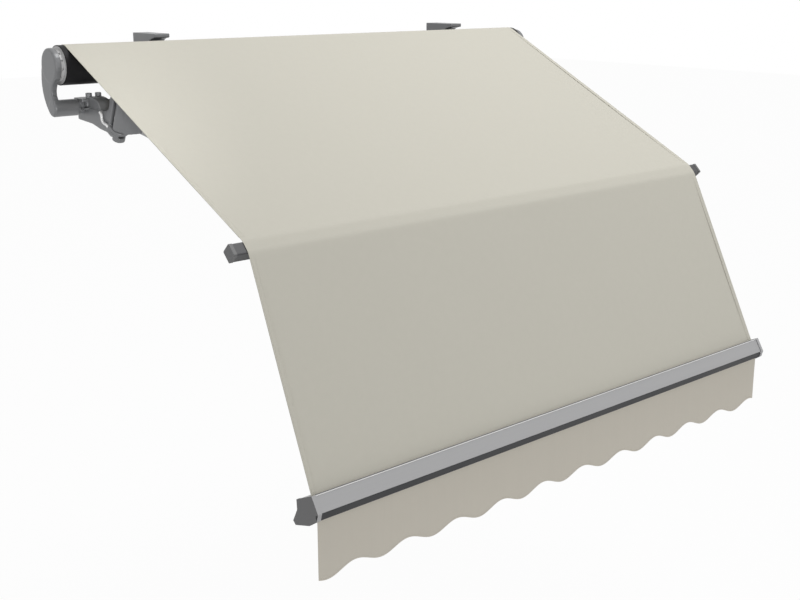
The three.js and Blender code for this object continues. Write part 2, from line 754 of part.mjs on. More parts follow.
// Crease bar, drawn in its own frame: square with the awning's length along X
function creaseBarParts(group) {
  const half = halfCloth + creaseOverhang;
  const bar = slopeGroup(group, creaseTurn, ...creaseCentre);
  const outer = alongX(roundedRectangle(creaseSide, creaseSide, creaseCorner), -half, half, 4);
  const bore = creaseSide - 2 * creaseWall;
  const inner = alongX(roundedRectangle(bore, bore, creaseCorner - 2), -half - 1, half + 1, 4);
  add(bar, 'crease_bar', build([outer], [inner]), barGrey);
  const start = -half - seatGap;
  const capOutline = roundedRectangle(creaseSide + 2, creaseSide + 2, creaseCorner);
  const face = alongX(capOutline, start - creaseCapThickness, start, 4);
  const plugSide = bore - 2 * seatGap;
  const plug = alongX(roundedRectangle(plugSide, plugSide, creaseCorner - 2), start - 1, start + 20, 4);
  const cap = build([face, plug]);
  add(bar, 'crease_bar_cap_left', cap, capGrey);
  add(bar, 'crease_bar_cap_right', mirroredX(cap), capGrey);
}

// Height over both ears round an arm's knuckle
const earSpan = (knuckleHeight) => knuckleHeight + 2 * (runningGap + earThickness);

// A headed pin along Z through two ears, which are this far apart over their outer faces
function pin(span) {
  const shaft = rodZ(pinRadius, span + 2 * seatGap + 1);
  const heads = [-1, 1].map((side) =>
    rodZ(pinRadius + pinHead, pinHead).translate(0, 0, side * (span / 2 + seatGap + pinHead / 2)));
  return build([shaft, ...heads]);
}

// What a pin needs cut out of the ears that hold it and the metal beside its heads
function pinRoom(span) {
  const depth = pinHead + 2;
  const pockets = [-1, 1].map((side) =>
    rodZ(pinRadius + pinHead + 1, depth).translate(0, 0, side * (span + depth) / 2));
  return [rodZ(pinRadius + seatGap, span + 2), ...pockets];
}

// A rounded bar with the arm's axes: its height is along Z, and it runs along -Y between two distances
function armBar(height, width, radius, from, to) {
  return alongX(roundedRectangle(height, width, radius), from, to, 2)
    .rotateX(Math.PI / 2)
    .rotateZ(-Math.PI / 2);
}

// Knuckle round a pin, with a web that tapers to the tube's collar and a spigot for the tube. The arm runs
// along -Y from the pin, and its tube begins at a distance from it.
function armEnd(height, radius, start = tubeStart) {
  const shrink = 2 * (tubeWall + seatGap);
  const spigot = [tubeHeight - shrink, tubeWidth - shrink, tubeCorner - tubeWall];
  const collar = start - collarLength;
  const web = outline([
    [0, -height / 2],
    [0, height / 2],
    [-radius - webStart, height / 2],
    [-collar - 1, tubeHeight / 2],
    [-collar - 1, -tubeHeight / 2],
    [-radius - webStart, -height / 2],
  ]);
  const pieces = [
    rodZ(radius, height, 24),
    alongX(web, -tubeWidth / 2 + 3, tubeWidth / 2 - 3),
    armBar(tubeHeight, tubeWidth, tubeCorner, collar, start),
    armBar(...spigot, start - 1, start + spigotLength),
  ];
  return build(pieces, [rodZ(pinRadius + runningGap, height + 2)]);
}

// Tube between two castings, which ends at these distances from the pins
function armTube(start, end = tubeStart) {
  const from = start + seatGap;
  const to = armLength - end - seatGap;
  const outer = armBar(tubeHeight, tubeWidth, tubeCorner, from, to);
  const inside = [tubeHeight - 2 * tubeWall, tubeWidth - 2 * tubeWall, tubeCorner - tubeWall];
  return build([outer], [armBar(...inside, from - 1, to + 1)]);
}

// Tension spring in an upper arm: its close turns are one sleeve, drawn in at both ends to a rod that
// runs to the castings
function armSpring() {
  const from = shoulderTubeStart + spigotLength + seatGap;
  const to = armLength - tubeStart - spigotLength - seatGap;
  const bore = springRadius - springWire;
  const gap = box(bore / 2, springLength + 2, bore / 2).translate(0, 0, 0.7 * bore);
  return build(
    [rodY(springRadius, springLength, 20), rodY(springWire, to - from, 12)],
    [rodY(bore, springLength - 2 * springEnd, 20), gap],
  ).translate(0, -(from + to) / 2, 0);
}

// One arm: the upper arm in the plane under the upper slope, the forearm behind the lower slope.
// Positive side is +X. Both lie in their open position, with the elbow nearer the middle.
function armParts(group, name, side) {
  const upperPlane = slopeGroup(group, upperSlope, ...shoulder, side * shoulderX);
  const upper = turnedGroup(upperPlane, 0, 0, 0, -side * openAngle);
  const end = armEnd(tubeHeight, knuckleRadius);
  const farEnd = end.clone().rotateZ(Math.PI).translate(0, -armLength, 0);
  const root = armEnd(shoulderKnuckle, knuckleRadius, shoulderTubeStart);
  add(upper, `upper_arm_root_${name}`, root, castGrey);
  add(upper, `upper_arm_tube_${name}`, armTube(shoulderTubeStart), barGrey);
  add(upper, `upper_arm_end_${name}`, farEnd, castGrey);
  add(upper, `arm_spring_${name}`, armSpring(), zincSteel);

  const elbow = turnedGroup(group, side * elbowX, 0, 0, 0);
  add(elbow, `elbow_block_${name}`, side < 0 ? elbowBlock() : mirroredX(elbowBlock()), castGrey);
  const glide = slopeGroup(elbow, creaseTurn, ...creaseCentre);
  add(glide, `bar_glide_${name}`, barGlide(), blackPlastic);
  const pinIn = slopeGroup(elbow, upperSlope, ...elbowIn);
  add(pinIn, `elbow_pin_inner_${name}`, pin(earSpan(tubeHeight)), zincSteel);
  const pinOut = slopeGroup(elbow, lowerSlope, ...elbowOut, -side * elbowStep);
  add(pinOut, `elbow_pin_outer_${name}`, pin(earSpan(tubeHeight)), zincSteel);

  const lowerPlane = slopeGroup(group, lowerSlope, ...elbowOut, side * (elbowX - elbowStep));
  const fore = turnedGroup(lowerPlane, 0, 0, 0, side * openAngle);
  const frontEnd = armEnd(frontKnuckleHeight, frontKnuckleRadius)
    .rotateZ(Math.PI)
    .translate(0, -armLength, 0);
  add(fore, `forearm_root_${name}`, end.clone(), castGrey);
  add(fore, `forearm_tube_${name}`, armTube(tubeStart), barGrey);
  add(fore, `forearm_end_${name}`, frontEnd, castGrey);
}

// Elbow block on the -X side, in world (y, z) round the upper hinge's x = 0: a web between two pairs of
// ears, of which the outer pair steps towards +X, and the saddle for the crease bar
function elbowBlock() {
  const earZ = tubeHeight / 2 + runningGap + earThickness / 2;
  const half = earSpan(tubeHeight) / 2;
  const pieces = [];
  const cuts = [];
  const hinges = [
    { at: elbowIn, slope: upperSlope, web: -knuckleClear, step: 0 },
    { at: elbowOut, slope: lowerSlope, web: knuckleClear, step: elbowStep },
  ];
  for (const { at, slope, web, step } of hinges) {
    const place = (geometry) => geometry.rotateX(slope).translate(step, ...at);
    for (const side of [-1, 1]) {
      const ear = plate(earOutline(elbowWidth / 2, Math.sign(web) * earReach), earThickness, side * earZ);
      pieces.push(place(ear));
    }
    const room = box(cutLength, elbowRoom, tubeHeight + 2 * runningGap)
      .translate(0, web - (Math.sign(web) * elbowRoom) / 2, 0);
    cuts.push(place(room));
    cuts.push(...pinRoom(2 * half).map(place));
  }
  const web = outline([
    onSlope(elbowIn, upperSlope, knuckleClear, -half),
    onSlope(elbowOut, lowerSlope, -knuckleClear, -half),
    onSlope(elbowOut, lowerSlope, elbowWidth / 2 - 4, half),
    onSlope(creaseCentre, creaseTurn, keel, -keel),
    onSlope(creaseCentre, creaseTurn, -saddleReach, -creaseSide / 2 - saddleGap),
    onSlope(elbowOut, lowerSlope, -knuckleClear - earThickness, half),
    onSlope(elbowIn, upperSlope, knuckleClear, half),
  ]);
  const atBar = (geometry) => geometry.rotateX(creaseTurn).translate(0, ...creaseCentre);
  pieces.push(atBar(saddleAngle(saddleGap, saddleThickness, elbowWidth)));
  cuts.push(atBar(saddleRoom()));
  return build([alongX(web, -elbowWidth / 2, elbowWidth / 2 + elbowStep), ...pieces], cuts);
}

// An angle under the crease bar, in the bar's frame, where its two lower sides face -Y and -Z
function saddleAngle(gap, thickness, width) {
  const near = creaseSide / 2 + gap;
  const far = near + thickness;
  const back = boxBetween(-width / 2, width / 2, -far, saddleReach, -far, -near);
  const front = boxBetween(-width / 2, width / 2, -far, -near, -far, -saddleFrontReach);
  return build([back, front]);
}

// The space that the crease bar and its glide need in the elbow block
function saddleRoom() {
  const near = creaseSide / 2 + saddleGap;
  return boxBetween(-cutLength, cutLength, -near, 2 * near, -near, 2 * near);
}

function barGlide() {
  return saddleAngle(seatGap, glideThickness, elbowWidth + 8);
}

// Shoulder casting, in world (y, z) round x = 0: a saddle under the torsion bar, a neck that rises in a
// hump before the clamp and bends down to the hinge, a cheek on either side, two ears and a lug

const clampFront = -rollerOut - torsionSide / 2 - clampWall;
const clampBack = -rollerOut + torsionSide / 2 + clampWall;
const clampLow = -torsionSide / 2 - clampUnder;
const shoulderSpan = earSpan(shoulderKnuckle);

// A closed outline through the first points along straight lines and the others along a smooth curve
function smoothOutline(corners, curve) {
  const shape = outline(corners);
  shape.splineThru(curve.map(([a, b]) => new THREE.Vector2(a, b)));
  shape.closePath();
  return shape;
}

// The casting's underside, from the hinge back to the saddle
function shoulderUnderside() {
  const lugMiddle = -(shoulderSpan + lugHeight) / 2;
  const [backY, backZ] = onSlope(shoulder, upperSlope, -knuckleClear, lugMiddle);
  return [
    onSlope(shoulder, upperSlope, 0, lugMiddle),
    [backY, backZ],
    [backY + 1.5 * knuckleClear, clampLow - skirtDrop],
    [clampFront - 1.6 * clampWall, clampLow - skirtDrop / 3],
    [clampBack, clampLow],
  ];
}

// The neck between the cheeks: up before the clamp, over the hump, down into a valley and up to the top ear
function humpOutline() {
  const start = clampFront - seatGap - 4;
  const behind = (down, height) => onSlope(shoulder, upperSlope, -knuckleClear - down, height);
  const corners = [...shoulderUnderside(), [clampBack, 0], [start, 0], [start, humpHeight]];
  return smoothOutline(corners, [
    [start - 0.33 * humpLength, humpHeight - 1],
    [start - 0.7 * humpLength, 0.7 * humpHeight],
    [start - humpLength, -2],
    behind(neckDepth, -earThickness),
    behind(neckDepth - 2, shoulderSpan / 4),
    behind(neckDepth / 4, shoulderSpan / 2),
    onSlope(shoulder, upperSlope, 0, shoulderSpan / 2),
  ]);
}

// A cheek, whose front edge falls in an S from before the clamp to the hinge
function cheekOutline() {
  const start = clampFront - seatGap - 4;
  const edge = start - humpLength;
  const corners = [...shoulderUnderside(), [clampBack, -seatGap], [start, -seatGap]];
  return smoothOutline(corners, [
    [edge, -cheekDrop],
    [edge - cheekWaist.out, -cheekWaist.down],
    [edge - cheekFoot.out, -cheekFoot.down],
    onSlope(shoulder, upperSlope, -knuckleClear, -shoulderKnuckle / 2),
  ]);
}

function shoulderCasting() {
  const half = castingWidth / 2;
  const neckHalf = half - cheekThickness;
  const earZ = shoulderKnuckle / 2 + runningGap + earThickness / 2;
  const place = (geometry) => geometry.rotateX(upperSlope).translate(0, ...shoulder);
  const ears = [-1, 1].map((side) =>
    place(plate(earOutline(half - 2, earReach), earThickness, side * earZ)));
  const lug = place(rodZ(lugRadius, lugHeight, 24).translate(0, 0, -(shoulderSpan + lugHeight) / 2 + 0.5));
  const slotZ = -shoulderSpan / 2 - lugSlot.below - lugSlot.height / 2;
  const slot = place(box(lugSlot.width, cutLength, lugSlot.height).translate(0, 0, slotZ));
  const armRoom = place(box(cutLength, cutLength, shoulderKnuckle + 2 * runningGap)
    .translate(0, knuckleClear - cutLength / 2, 0));
  const noseRoom = place(box(cutLength, cutLength, cutLength).translate(0, -cutLength / 2, 0));
  const hinge = pinRoom(shoulderSpan).map(place);
  const cuts = [torsionRoom(castingWidth), armRoom, slot, ...hinge, ...clampBores()];
  const body = solid(alongX(humpOutline(), -neckHalf, neckHalf))
    .add(solid(alongX(cheekOutline(), -half, half)))
    .subtract(solid(noseRoom));
  const joined = [...ears, lug].reduce((rest, piece) => rest.add(solid(piece)), body);
  return geometryOf(cuts.reduce((rest, cut) => rest.subtract(solid(cut)), joined));
}

// The room of the torsion bar in what holds it, over a width along X
function torsionRoom(width) {
  const side = torsionSide + 2 * seatGap;
  return box(width + 2, side, side).translate(0, -rollerOut, 0);
}

// Bores for the two bolts in front of the bar
function clampBores() {
  return [-1, 1].map((side) =>
    rodZ(boltRadius + seatGap, 120, 20).translate((side * clampBoltSpacing) / 2, clampBoltY, 0));
}

// Cap over the torsion bar on the -X side, drawn down to the casting by two bolts, with a tab to -X
function shoulderCap() {
  const top = torsionSide / 2 + clampCapHeight;
  const shape = new THREE.Shape();
  shape.moveTo(clampBack, seatGap);
  shape.lineTo(clampBack, top - 12);
  shape.quadraticCurveTo(clampBack, top, clampBack - 14, top);
  shape.lineTo(clampFront - 2, top);
  shape.lineTo(clampFront - 2, seatGap);
  shape.closePath();
  const half = castingWidth / 2;
  const body = alongX(shape, -half, half, 5);
  const tab = boxBetween(
    -half - clampCapTab, -half + 1, clampFront - 2, clampBack - 14, top - clampCapHeight, top,
  );
  return build([body, tab], [torsionRoom(castingWidth + 2 * clampCapTab), ...clampBores()]);
}

function clampBolt(side) {
  const top = torsionSide / 2 + clampCapHeight + seatGap;
  const head = rodZ(boltHeadRadius, boltHeadHeight, 6).translate(0, 0, top + boltHeadHeight / 2);
  const shank = rodZ(boltRadius, top + clampBoltDepth, 16).translate(0, 0, (top - clampBoltDepth) / 2 + 1);
  return build([head, shank]).translate((side * clampBoltSpacing) / 2, clampBoltY, 0);
}

function shoulderParts(group, name, side) {
  const place = turnedGroup(group, side * shoulderX, 0, 0, 0);
  add(place, `shoulder_${name}`, shoulderCasting(), castGrey);
  add(place, `shoulder_cap_${name}`, side < 0 ? shoulderCap() : mirroredX(shoulderCap()), castGrey);
  add(place, `shoulder_bolt_outer_${name}`, clampBolt(side), zincSteel);
  add(place, `shoulder_bolt_inner_${name}`, clampBolt(-side), zincSteel);
  const pinPlace = slopeGroup(place, upperSlope, ...shoulder);
  add(pinPlace, `shoulder_pin_${name}`, pin(shoulderSpan), zincSteel);
}

function bracketParts(group, name) {
  const place = turnedGroup(group, bracketX[name], 0, 0, 0);
  add(place, `wall_bracket_${name}`, wallBracket(), castGrey);
  add(place, `bracket_jaw_${name}`, bracketJawPiece(), castGrey);
  add(place, `bracket_bolt_${name}`, bracketBolt(), zincSteel);
}

function frameParts(group) {
  add(group, 'torsion_bar', torsionBar(), darkSteel);
  add(group, 'roller_end_bracket_left', rollerEndBracket(idlePinRadius + seatGap), castGrey);
  add(group, 'roller_end_bracket_right', mirroredX(rollerEndBracket(motorHeadRadius + seatGap)), castGrey);
  const idlePin = rodX(idlePinRadius, -endPlateInner - 13, -halfRoller + plugDepth + 8, 24);
  add(group, 'idle_pin', idlePin.translate(0, ...rollerAxis), zincSteel);
  add(group, 'tube_motor', motor(), darkSteel);
}

frameParts(awning);
for (const [name, side] of [['left', -1], ['right', 1]]) {
  bracketParts(awning, name);
  shoulderParts(awning, name, side);
  armParts(awning, name, side);
}
rollerParts(awning);
creaseBarParts(awning);
frontBarParts(awning);
add(awning, 'cloth_upper', clothUpper(), upperCloth);
add(awning, 'cloth_lower', clothLower(), lowerCloth);

export default awning;
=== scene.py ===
# %% [markdown]
# # A folding arm awning
# The awning hangs on a wall by two brackets. A square torsion bar carries the roller and two folding
# arms. The cloth leaves the roller, runs down a gentle slope to a crease bar, bends over it and falls
# steeply to the front bar, below which a short valance hangs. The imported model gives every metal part
# its place, and this lesson adds the cloth, the soft edges of the castings, the small fasteners, the
# finishes, the light and the camera. All lengths are metres.

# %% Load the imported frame
import json
import math

import bmesh
import bpy
import numpy as np
from mathutils import Matrix, Vector


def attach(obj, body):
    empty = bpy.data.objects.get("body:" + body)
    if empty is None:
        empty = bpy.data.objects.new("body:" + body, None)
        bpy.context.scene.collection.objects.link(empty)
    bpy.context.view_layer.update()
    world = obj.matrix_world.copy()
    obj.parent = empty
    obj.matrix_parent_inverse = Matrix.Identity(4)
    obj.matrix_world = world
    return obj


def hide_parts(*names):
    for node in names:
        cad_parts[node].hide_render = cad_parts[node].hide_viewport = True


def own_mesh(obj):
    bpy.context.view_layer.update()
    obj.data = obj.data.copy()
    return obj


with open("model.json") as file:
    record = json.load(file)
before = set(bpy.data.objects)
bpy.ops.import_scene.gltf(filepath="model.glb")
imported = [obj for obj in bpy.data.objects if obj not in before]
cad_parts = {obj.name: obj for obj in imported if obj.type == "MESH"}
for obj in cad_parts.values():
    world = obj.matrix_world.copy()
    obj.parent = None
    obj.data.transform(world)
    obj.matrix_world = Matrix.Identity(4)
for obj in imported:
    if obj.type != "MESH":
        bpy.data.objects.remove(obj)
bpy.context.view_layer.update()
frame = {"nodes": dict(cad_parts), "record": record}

nodes = frame["nodes"]
scene = bpy.context.scene
SIDES = ("left", "right")
SIGNED_SIDES = (("left", -1), ("right", 1))

# %% [markdown]
# ## Adding things to the scene
# Camera, lamps and pieces enter the scene in the same way. A mesh that is written out face by face
# gets its faces turned outwards, and a line of points becomes a curve.

# %% Helpers for objects, meshes and curves


def add(name, data):
    """A new object with this data, put into the scene."""
    thing = bpy.data.objects.new(name, data)
    scene.collection.objects.link(thing)
    return thing


def face_outwards(mesh):
    """Turns every face of a closed mesh to the outside."""
    work = bmesh.new()
    work.from_mesh(mesh)
    bmesh.ops.recalc_face_normals(work, faces=work.faces)
    work.to_mesh(mesh)
    work.free()


def lines_curve(name, lines):
    """One curve object's data from several lines of points."""
    data = bpy.data.curves.new(name, "CURVE")
    data.dimensions = "3D"
    for line in lines:
        spline = data.splines.new("POLY")
        spline.points.add(len(line) - 1)
        for point, place in zip(spline.points, line):
            point.co = (*place, 1)
    return data


# %% [markdown]
# ## The lines that everything follows
# The same few numbers place the cloth as place the metal: two slopes, the cloth's length on each, and
# the roller's axis. The lengths follow from how far the arms reach, how far down the upper slope the
# shoulders turn and how far the elbow's two pins lie from the crease. A point on a slope is given by
# how far down it lies and how high over the cloth.

# %% Slopes and lines
UPPER_SLOPE = math.radians(26)
LOWER_SLOPE = math.radians(64)
CREASE_TURN = (UPPER_SLOPE + LOWER_SLOPE) / 2
ARM_LENGTH = 0.890
ARM_OPEN = math.radians(28)
ARM_REACH = ARM_LENGTH * math.cos(ARM_OPEN)
SHOULDER_ALONG = 0.315
ELBOW_BACK = 0.183
ELBOW_ALONG = 0.020
UPPER_LENGTH = SHOULDER_ALONG + ARM_REACH + ELBOW_BACK
LOWER_LENGTH = ELBOW_ALONG + ARM_REACH
HALF_CLOTH = 1.200
CLOTH_WIDTH = 2 * HALF_CLOTH
ROLLER_AXIS = (-0.210, 0.160)
CLOTH_RADIUS = 0.0753
ROLLER_WRAP = math.radians(30)
CREASE_SIDE = 0.045
CLOTH_THICKNESS = 0.0011
CLOTH_LIFT = 0.0009
SEAT_GAP = 0.0003


def on_slope(point, slope, down, height):
    """A point this far down a slope and this high over it, as (y, z)."""
    y, z = point
    return (
        y - down * math.cos(slope) - height * math.sin(slope),
        z - down * math.sin(slope) + height * math.cos(slope),
    )


cloth_start = on_slope(ROLLER_AXIS, UPPER_SLOPE, 0, CLOTH_RADIUS)
crease = on_slope(cloth_start, UPPER_SLOPE, UPPER_LENGTH, 0)
front_line = on_slope(crease, LOWER_SLOPE, LOWER_LENGTH, 0)
crease_bend = (LOWER_SLOPE - UPPER_SLOPE) / 2
crease_depth = CREASE_SIDE / 2 * (1 + math.tan(crease_bend)) + SEAT_GAP / math.cos(crease_bend)
crease_centre = on_slope(crease, CREASE_TURN, 0, -crease_depth)
print("crease line:", crease, "front line:", front_line)

# %% [markdown]
# ## The camera
# The picture was taken from in front, to the left and a little above, with a lens of normal length.
# Its place was found from the cloth's straight edges, so the camera has no shift and no roll.

# %% Camera
CAMERA_PLACE = Vector((-3.0544, -4.3417, 0.4750))
CAMERA_AZIMUTH = math.radians(-40.518)
CAMERA_ELEVATION = math.radians(15.935)
CAMERA_LENS = 50.64
SENSOR_WIDTH = 36
FARTHEST_SEEN = 100


def aim(azimuth, elevation):
    """The turn of a camera whose back points along this azimuth and elevation."""
    back = Vector((
        math.sin(azimuth) * math.cos(elevation),
        -math.cos(azimuth) * math.cos(elevation),
        math.sin(elevation),
    ))
    right = Vector((math.cos(azimuth), math.sin(azimuth), 0))
    return Matrix((right, back.cross(right), back)).transposed()


camera_data = bpy.data.cameras.new("camera")
camera_data.lens = CAMERA_LENS
camera_data.sensor_width = SENSOR_WIDTH
camera_data.clip_end = FARTHEST_SEEN
camera = add("camera", camera_data)
camera.matrix_world = Matrix.Translation(CAMERA_PLACE) @ aim(CAMERA_AZIMUTH, CAMERA_ELEVATION).to_4x4()
scene.camera = camera

# %% [markdown]
# ## Small helpers for nodes
# Materials and Geometry Nodes are both graphs. These helpers add a node, fill its inputs and link it,
# which keeps each recipe below about as long as the idea behind it.

# %% Node helpers


def put(tree, kind, operation=None, **inputs):
    """Adds a node and fills its inputs, each named by its label or i0, i1, ... by its place."""
    node = tree.nodes.new(kind)
    if operation:
        node.operation = operation
    for key, value in inputs.items():
        by_place = key[0] == "i" and key[1:].isdigit()
        socket = node.inputs[int(key[1:]) if by_place else key.replace("_", " ")]
        if isinstance(value, bpy.types.NodeSocket):
            tree.links.new(value, socket)
        else:
            socket.default_value = value
    return node


def calc(tree, operation, *values):
    """One math node over values or sockets, and its result."""
    inputs = {f"i{i}": value for i, value in enumerate(values)}
    return put(tree, "ShaderNodeMath", operation, **inputs).outputs[0]


def shader_group(name, inputs, outputs):
    """An empty shader group with named number or vector sockets, its inputs and its output node."""
    tree = bpy.data.node_groups.new(name, "ShaderNodeTree")
    for label, kind, value in inputs:
        socket = tree.interface.new_socket(label, in_out="INPUT", socket_type="NodeSocket" + kind)
        if kind == "Float":
            socket.default_value = value
    for label, kind in outputs:
        tree.interface.new_socket(label, in_out="OUTPUT", socket_type="NodeSocket" + kind)
    return tree, tree.nodes.new("NodeGroupInput").outputs, tree.nodes.new("NodeGroupOutput").inputs


def use_group(tree, group, **inputs):
    """Places a shader group in a material and returns its outputs."""
    node = tree.nodes.new("ShaderNodeGroup")
    node.node_tree = group
    for key, value in inputs.items():
        socket = node.inputs[key.replace("_", " ")]
        if isinstance(value, bpy.types.NodeSocket):
            tree.links.new(value, socket)
        else:
            socket.default_value = value
    return node.outputs


# %% [markdown]
# ## Effects that several materials share
# Powder coat has a fine orange peel and slightly uneven gloss. Rolled and extruded bars carry faint
# lines along their length. Dust settles in soft patches. Each is a group that only gives out heights
# and shades, so one recipe serves every finish at its own strength.

# %% Orange peel of a coat
peel, given, out = shader_group(
    "coat_peel",
    [("Place", "Vector", None), ("Grain per metre", "Float", 600.0), ("Unevenness", "Float", 0.1)],
    [("Height", "Float"), ("Shade", "Float")],
)
fine = put(peel, "ShaderNodeTexNoise", Vector=given["Place"], Scale=given["Grain per metre"], Detail=2.0)
broad = put(peel, "ShaderNodeTexNoise", Vector=given["Place"], Scale=9.0, Detail=4.0, Roughness=0.6)
swing = calc(peel, "SUBTRACT", broad.outputs[0], 0.5)
peel.links.new(fine.outputs[0], out["Height"])
peel.links.new(calc(peel, "MULTIPLY_ADD", swing, given["Unevenness"], 1.0), out["Shade"])

# %% Lines drawn along a bar
drawn, given, out = shader_group(
    "drawn_lines",
    [("Place", "Vector", None), ("Lines per metre", "Float", 900.0), ("Unevenness", "Float", 0.1)],
    [("Height", "Float"), ("Shade", "Float")],
)
thin = put(drawn, "ShaderNodeMapping", Vector=given["Place"])
thin.inputs["Scale"].default_value = (0.004, 1.0, 1.0)
lines = put(
    drawn, "ShaderNodeTexNoise", Vector=thin.outputs[0], Scale=given["Lines per metre"], Detail=3.0,
)
soft = put(drawn, "ShaderNodeTexNoise", Vector=thin.outputs[0], Scale=60.0, Detail=2.0)
swing = calc(drawn, "SUBTRACT", soft.outputs[0], 0.5)
drawn.links.new(lines.outputs[0], out["Height"])
drawn.links.new(calc(drawn, "MULTIPLY_ADD", swing, given["Unevenness"], 1.0), out["Shade"])

# %% Dust in soft patches
dust, given, out = shader_group(
    "settled_dust",
    [("Place", "Vector", None), ("Patches per metre", "Float", 3.0), ("Amount", "Float", 0.05)],
    [("Mask", "Float")],
)
clouds = put(
    dust, "ShaderNodeTexNoise", Vector=given["Place"], Scale=given["Patches per metre"], Detail=5.0,
)
patch = put(dust, "ShaderNodeMapRange", Value=clouds.outputs[0], i1=0.45, i2=0.75, i3=0.0, i4=1.0)
dust.links.new(calc(dust, "MULTIPLY", patch.outputs[0], given["Amount"]), out["Mask"])

# %% Plain weave of an awning cloth
weave, given, out = shader_group(
    "plain_weave",
    [("Place", "Vector", None), ("Threads per metre", "Float", 1400.0)],
    [("Height", "Float"), ("Shade", "Float")],
)
split = put(weave, "ShaderNodeSeparateXYZ", Vector=given["Place"])
across = calc(weave, "MULTIPLY", split.outputs[0], given["Threads per metre"])
along = calc(weave, "MULTIPLY", split.outputs[1], given["Threads per metre"])


def thread(distance):
    """How high a thread stands at this many thread widths from the first one."""
    return calc(weave, "ABSOLUTE", calc(weave, "SINE", calc(weave, "MULTIPLY", distance, math.pi)))


parity = calc(weave, "ADD", calc(weave, "FLOOR", across), calc(weave, "FLOOR", along))
over = calc(weave, "PINGPONG", parity, 1.0)
warp = calc(weave, "MULTIPLY", thread(across), over)
weft = calc(weave, "MULTIPLY", thread(along), calc(weave, "SUBTRACT", 1.0, over))
height = calc(weave, "ADD", warp, weft)
slub = put(weave, "ShaderNodeTexNoise", Vector=given["Place"], Scale=35.0, Detail=3.0)
dye = calc(weave, "MULTIPLY_ADD", slub.outputs[0], 0.03, 0.985)
weave.links.new(height, out["Height"])
dyed = calc(weave, "SUBTRACT", dye, 0.01)
weave.links.new(calc(weave, "MULTIPLY_ADD", height, 0.02, dyed), out["Shade"])

# %% [markdown]
# ## The finishes
# A material puts the shared effects on one base colour: the shade multiplies it, the height goes
# through a Bump node, and the dust mixes in a pale tone. What is the same all over, such as sheen or
# coat, is set on the shader itself.

# %% Material recipe
DUST_TONE = (0.62, 0.60, 0.56, 1)
DUST_ROUGHNESS = 0.4


def linear(red, green, blue):
    """A screen colour of 0 to 255 as the linear colour that a shader expects."""
    def one(value):
        """One channel, by the curve that screens use."""
        value /= 255
        return value / 12.92 if value <= 0.04045 else ((value + 0.055) / 1.055) ** 2.4
    return (one(red), one(green), one(blue), 1)


def finish(
    name, colour, roughness, metallic, effect, effect_inputs, bump,
    dusting=0.05, on_uv=False, **sockets,
):
    """A material with one shared effect over a base colour, and a little dust."""
    strength, distance = bump
    material = bpy.data.materials.new(name)
    material.use_nodes = True
    tree = material.node_tree
    shader = tree.nodes["Principled BSDF"]
    place = tree.nodes.new("ShaderNodeTexCoord").outputs["UV" if on_uv else "Object"]
    given = use_group(tree, effect, Place=place, **effect_inputs)
    dusty = use_group(tree, dust, Place=place, Amount=dusting)
    tint = put(tree, "ShaderNodeVectorMath", "SCALE", i0=colour[:3], Scale=given["Shade"])
    mixed = put(tree, "ShaderNodeMix", Factor=dusty["Mask"])
    mixed.data_type = "RGBA"
    clean, dusted = [socket for socket in mixed.inputs if socket.type == "RGBA"]
    tree.links.new(tint.outputs[0], clean)
    dusted.default_value = DUST_TONE
    result = [socket for socket in mixed.outputs if socket.type == "RGBA"][0]
    tree.links.new(result, shader.inputs["Base Color"])
    uneven = calc(tree, "MULTIPLY", given["Shade"], roughness)
    rough = calc(tree, "MULTIPLY_ADD", dusty["Mask"], DUST_ROUGHNESS, uneven)
    tree.links.new(rough, shader.inputs["Roughness"])
    shader.inputs["Metallic"].default_value = metallic
    raised = put(
        tree, "ShaderNodeBump", Strength=strength, Distance=distance, Height=given["Height"],
    )
    tree.links.new(raised.outputs[0], shader.inputs["Normal"])
    for key, value in sockets.items():
        shader.inputs[key.replace("_", " ")].default_value = value
    return material


# %% Finishes of the metal
cast_grey = finish(
    "cast_grey", linear(122, 123, 125), 0.38, 0.18, peel,
    {"Grain_per_metre": 700.0, "Unevenness": 0.14}, (0.12, 0.0004),
)
bar_grey = finish(
    "bar_grey", linear(177, 177, 178), 0.40, 0.15, drawn,
    {"Lines_per_metre": 900.0, "Unevenness": 0.08}, (0.06, 0.0003), dusting=0.03,
)
dark_steel = finish(
    "dark_steel", linear(25, 25, 27), 0.55, 0.0, drawn,
    {"Lines_per_metre": 700.0, "Unevenness": 0.2}, (0.06, 0.0003), dusting=0.01, Specular_IOR_Level=0.2,
)
zinc_steel = finish(
    "zinc_steel", linear(150, 152, 156), 0.35, 0.6, drawn,
    {"Lines_per_metre": 1200.0, "Unevenness": 0.2}, (0.06, 0.0002), dusting=0.02,
)

# %% Finishes of the plastic
cap_grey = finish(
    "cap_grey", linear(108, 108, 109), 0.5, 0.0, peel,
    {"Grain_per_metre": 1500.0, "Unevenness": 0.08}, (0.15, 0.0003),
)
# Paler than cap_grey: painted light on the roller plugs' crowns, which lie in shade.
crown_grey_painted_light = finish(
    "crown_grey_painted_light", linear(196, 196, 196), 0.40, 0.0, peel,
    {"Grain_per_metre": 1500.0, "Unevenness": 0.06}, (0.15, 0.0003), dusting=0.02,
)
black_plastic = finish(
    "black_plastic", linear(42, 43, 46), 0.55, 0.0, peel,
    {"Grain_per_metre": 1800.0, "Unevenness": 0.1}, (0.2, 0.0003), dusting=0.03,
)

# %% Painted shade on the crease bar and a painted highlight on rims
# The crease bar's darker grey is painted shade on its faces.
shade_grey = finish(
    "shade_grey", linear(84, 84, 86), 0.45, 0.0, drawn,
    {"Lines_per_metre": 900.0, "Unevenness": 0.08}, (0.06, 0.0003), dusting=0.02, Specular_IOR_Level=0.3,
)
# A pale, glossy grey whose brightness is a painted highlight on the cheeks' rims and the front bar's top
# edge.
highlight_grey = finish(
    "highlight_grey", linear(236, 236, 236), 0.22, 0.2, peel,
    {"Grain_per_metre": 700.0, "Unevenness": 0.08}, (0.10, 0.0003), dusting=0.02,
)

